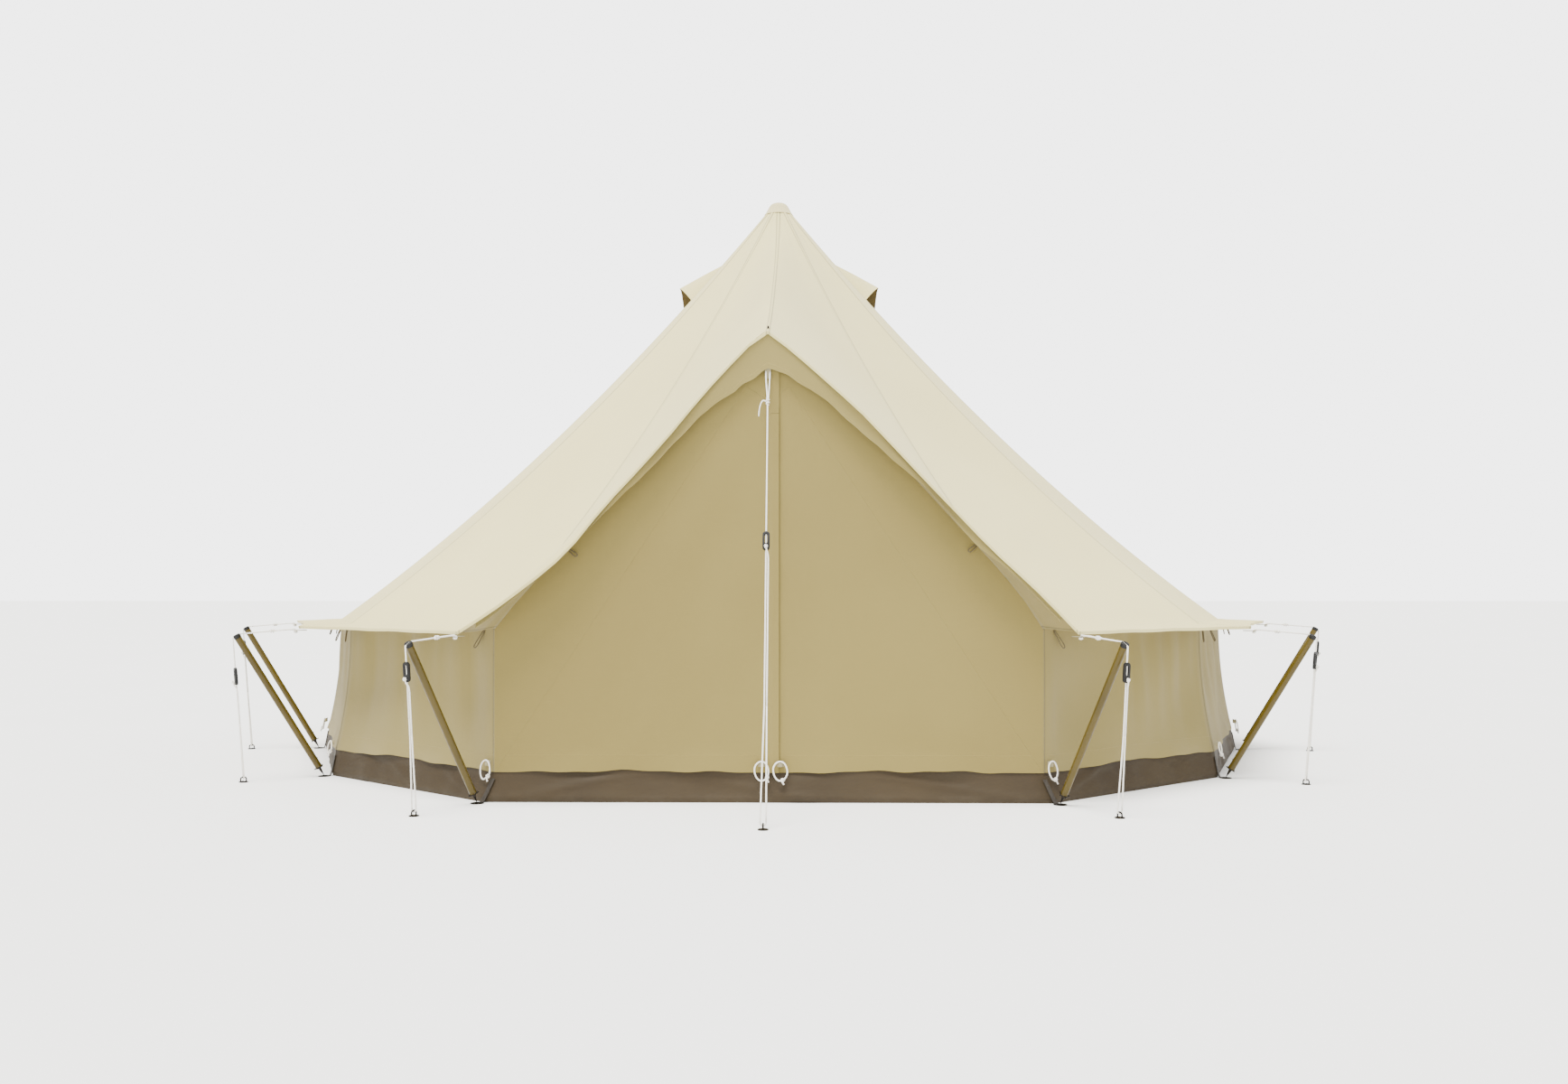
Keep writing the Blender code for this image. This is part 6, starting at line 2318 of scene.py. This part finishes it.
@dataclass
class Trimmings:
    """Small cords and loops: peg loops at the hems and toggle loops under the eave."""

    ring_radius: float = 0.034
    rope: float = 0.0034
    tab_width: float = 0.030
    loop_length: float = 0.085
    clasp_length: float = 0.046
    hem_z: float = 0.150

    def peg_loop(self, name: str, hang: Vector, facing: Vector, size: float, body: Body) -> None:
        """Hang a ring of rope from a hem, with the knot that closes it.

        Args:
            name: Name of the piece.
            hang: Point of the hem that it hangs from.
            facing: Direction that the ring's face looks in.
            size: Its radius.
            body: Body that it rides on.
        """
        up = Vector((0, 0, 1))
        right = up.cross(facing).normalized()
        centre = hang - up * (size * 0.62) + facing * 0.015
        lean = 0.35 if hang.x < 0 else -0.2
        path = []
        for k in range(49):
            turn = lean + 2 * math.pi * (0.06 + 1.0 * k / 48)
            wide = size * (0.84 + 0.05 * math.sin(2 * turn))
            out = facing * (0.005 * math.cos(turn) + 0.008 * k / 48)
            path.append(centre + right * (wide * math.sin(turn)) - up * (1.12 * size * math.cos(turn)) + out)
        path.append(path[-1] + right * 0.010 - up * 0.016 + facing * 0.003)
        ring = rope_tube(name, path, self.rope, 10)
        settle(ring, ROPE, "guy_line_door", body)
        ahead = (path[3] - path[0]).normalized()
        knot = GuyLine(0).knot(f"{name}_knot", path[1] + facing * 0.003, ahead, 0.014)
        settle(knot, ROPE, "guy_line_door", body)

        def tape(u: float, v: float) -> Vector:
            """Point of the keeper that the ring is threaded through."""
            spot = hang + up * (0.017 - 0.022 * v) + right * ((u - 0.5) * self.tab_width)
            return spot + facing * (0.0015 + 0.0145 * math.sin(math.pi * u) ** 0.5 * smooth(v * 3))

        keeper = sheet_grid(f"{name}_keeper", 10, 6, tape)
        line_up(keeper, Vector((0, 0, 0.15)))
        thicken(keeper, 0.0014)
        soften(keeper, 60)
        settle(keeper, TAPE, "guy_line_door", body)

    def build_loops(self) -> None:
        """Hang the loops at the door's corners, on its leaves and at the outer corners."""
        front = Vector((0, -1, 0))
        y = -PLAN.door_plane - 0.003
        for name, x, body in (("left_leaf", -0.026, Body.LEFT_LEAF), ("right_leaf", 0.050, Body.RIGHT_LEAF)):
            self.peg_loop(f"peg_loop_{name}", Vector((x, y, self.hem_z)), front, self.ring_radius, body)
        for name, i, j in (("left_corner", -1, -2), ("right_corner", 1, 2)):
            corner = PLAN.wall_corner(i % PLAN.panels, 1.0)
            along = (PLAN.wall_corner(j % PLAN.panels, 1.0) - corner).normalized()
            out = along.cross(Vector((0, 0, math.copysign(1.0, i))))
            hang = Vector((corner.x, corner.y, self.hem_z)) + along * 0.038 + out * 0.003
            self.peg_loop(f"peg_loop_{name}", hang, out, self.ring_radius, Body.TENT)
        for i in range(2, PLAN.panels - 1):
            out = PLAN.corner(i, 1.0, 0.0)
            self.peg_loop(f"peg_loop_{i:02d}", PLAN.corner(i, 2.487, self.hem_z), out, 0.026, Body.TENT)

    def toggle_loop(self, name: str, hang: Vector, tilt: Vector, side: Vector, long: float) -> None:
        """Hang one flat loop of tape that a toggle is buttoned through.

        Args:
            name: Name of the piece.
            hang: Where it is sewn on.
            tilt: Direction that it hangs in.
            side: Direction across it.
            long: Its length.
        """
        half = 0.006
        line = curve_through([hang - side * half * 0.5, hang + tilt * long * 0.5 - side * half,
                              hang + tilt * long * 0.9 - side * half * 1.1, hang + tilt * long,
                              hang + tilt * long * 0.9 + side * half * 1.1,
                              hang + tilt * long * 0.5 + side * half, hang + side * half * 0.5], 6)
        loop = rope_tube(name, line, 0.0024, 8)
        settle(loop, LOOP_TAPE, "wall_canvas", Body.TENT)

    def build_toggles(self) -> None:
        """Hang toggle loops under the eave beside the corners, and two at the door's valance."""
        for i in range(1, PLAN.panels):
            for side in (-0.036, 0.036):
                if (i == 1 and side < 0) or (i == PLAN.panels - 1 and side > 0):
                    continue
                out = PLAN.corner(i + side, 1.0, 0.0)
                across = Vector((-out.y, out.x, 0))
                tilt = (out * 0.28 + Vector((0, 0, -1)) + across * (0.5 * side / 0.036)).normalized()
                self.toggle_loop(f"toggle_loop_{i:02d}_{'a' if side < 0 else 'b'}",
                                 PLAN.corner(i + side, 2.436, 0.700), tilt, tilt.cross(out).normalized(),
                                 self.loop_length)
        for name, x, z in (("left", -0.815, 1.030), ("right", 0.850, 1.048)):
            tilt = Vector((math.copysign(0.8, -x), -0.12, -0.62)).normalized()
            self.toggle_loop(f"toggle_loop_door_{name}", Vector((x, -PLAN.door_plane - 0.006, z)), tilt,
                             tilt.cross(Vector((0, -1, 0))).normalized(), self.clasp_length)

    def build(self) -> None:
        """Make the loops."""
        self.build_loops()
        self.build_toggles()
        log.info("trimmings: peg loops and toggle loops")


@dataclass
class CarriedPieces:
    """Rigid pieces of the frame that keep their shape and get their finish here."""

    finishes: dict[str, Finish] = field(default_factory=lambda: {
        "centre_pole_foot": RUBBER, "centre_pole_lower": OLIVE, "centre_pole_upper": OLIVE,
        "a_frame_left_leg": OLIVE, "a_frame_right_leg": OLIVE, "a_frame_elbow": DARK_STEEL,
        "a_frame_left_foot": RUBBER, "a_frame_right_foot": RUBBER, "door_zip": ZIP, "zip_pull": STEEL})

    def build(self) -> None:
        """Dress the carried pieces."""
        for name, finish in self.finishes.items():
            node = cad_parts[name]
            if not node.material_slots:
                node.data.materials.append(None)
            for slot in node.material_slots:
                slot.material = finish.material()
        log.info("carried pieces: %d", len(self.finishes))


def main() -> None:
    """Build and dress the tent."""
    logging.basicConfig(level=logging.INFO, format="%(name)s: %(message)s")
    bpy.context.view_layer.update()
    Studio().build()
    lines = [GuyLine(i) for i in (*range(7), *range(-6, 0))]
    for line in lines:
        line.build()
    log.info("guy lines: %d", len(lines))
    DeckEyes().build(lines)
    Tensioners().build(lines)
    SidePoles().build(lines)
    RoofCanvas().build()
    CrownCap().build()
    VentHoods().build()
    WallCanvas().build()
    DoorLeaves().build()
    HoodValance().build()
    Groundsheet().build()
    Trimmings().build()
    CarriedPieces().build()
    deselect()
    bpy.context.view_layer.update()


if __name__ == "__main__":
    main()
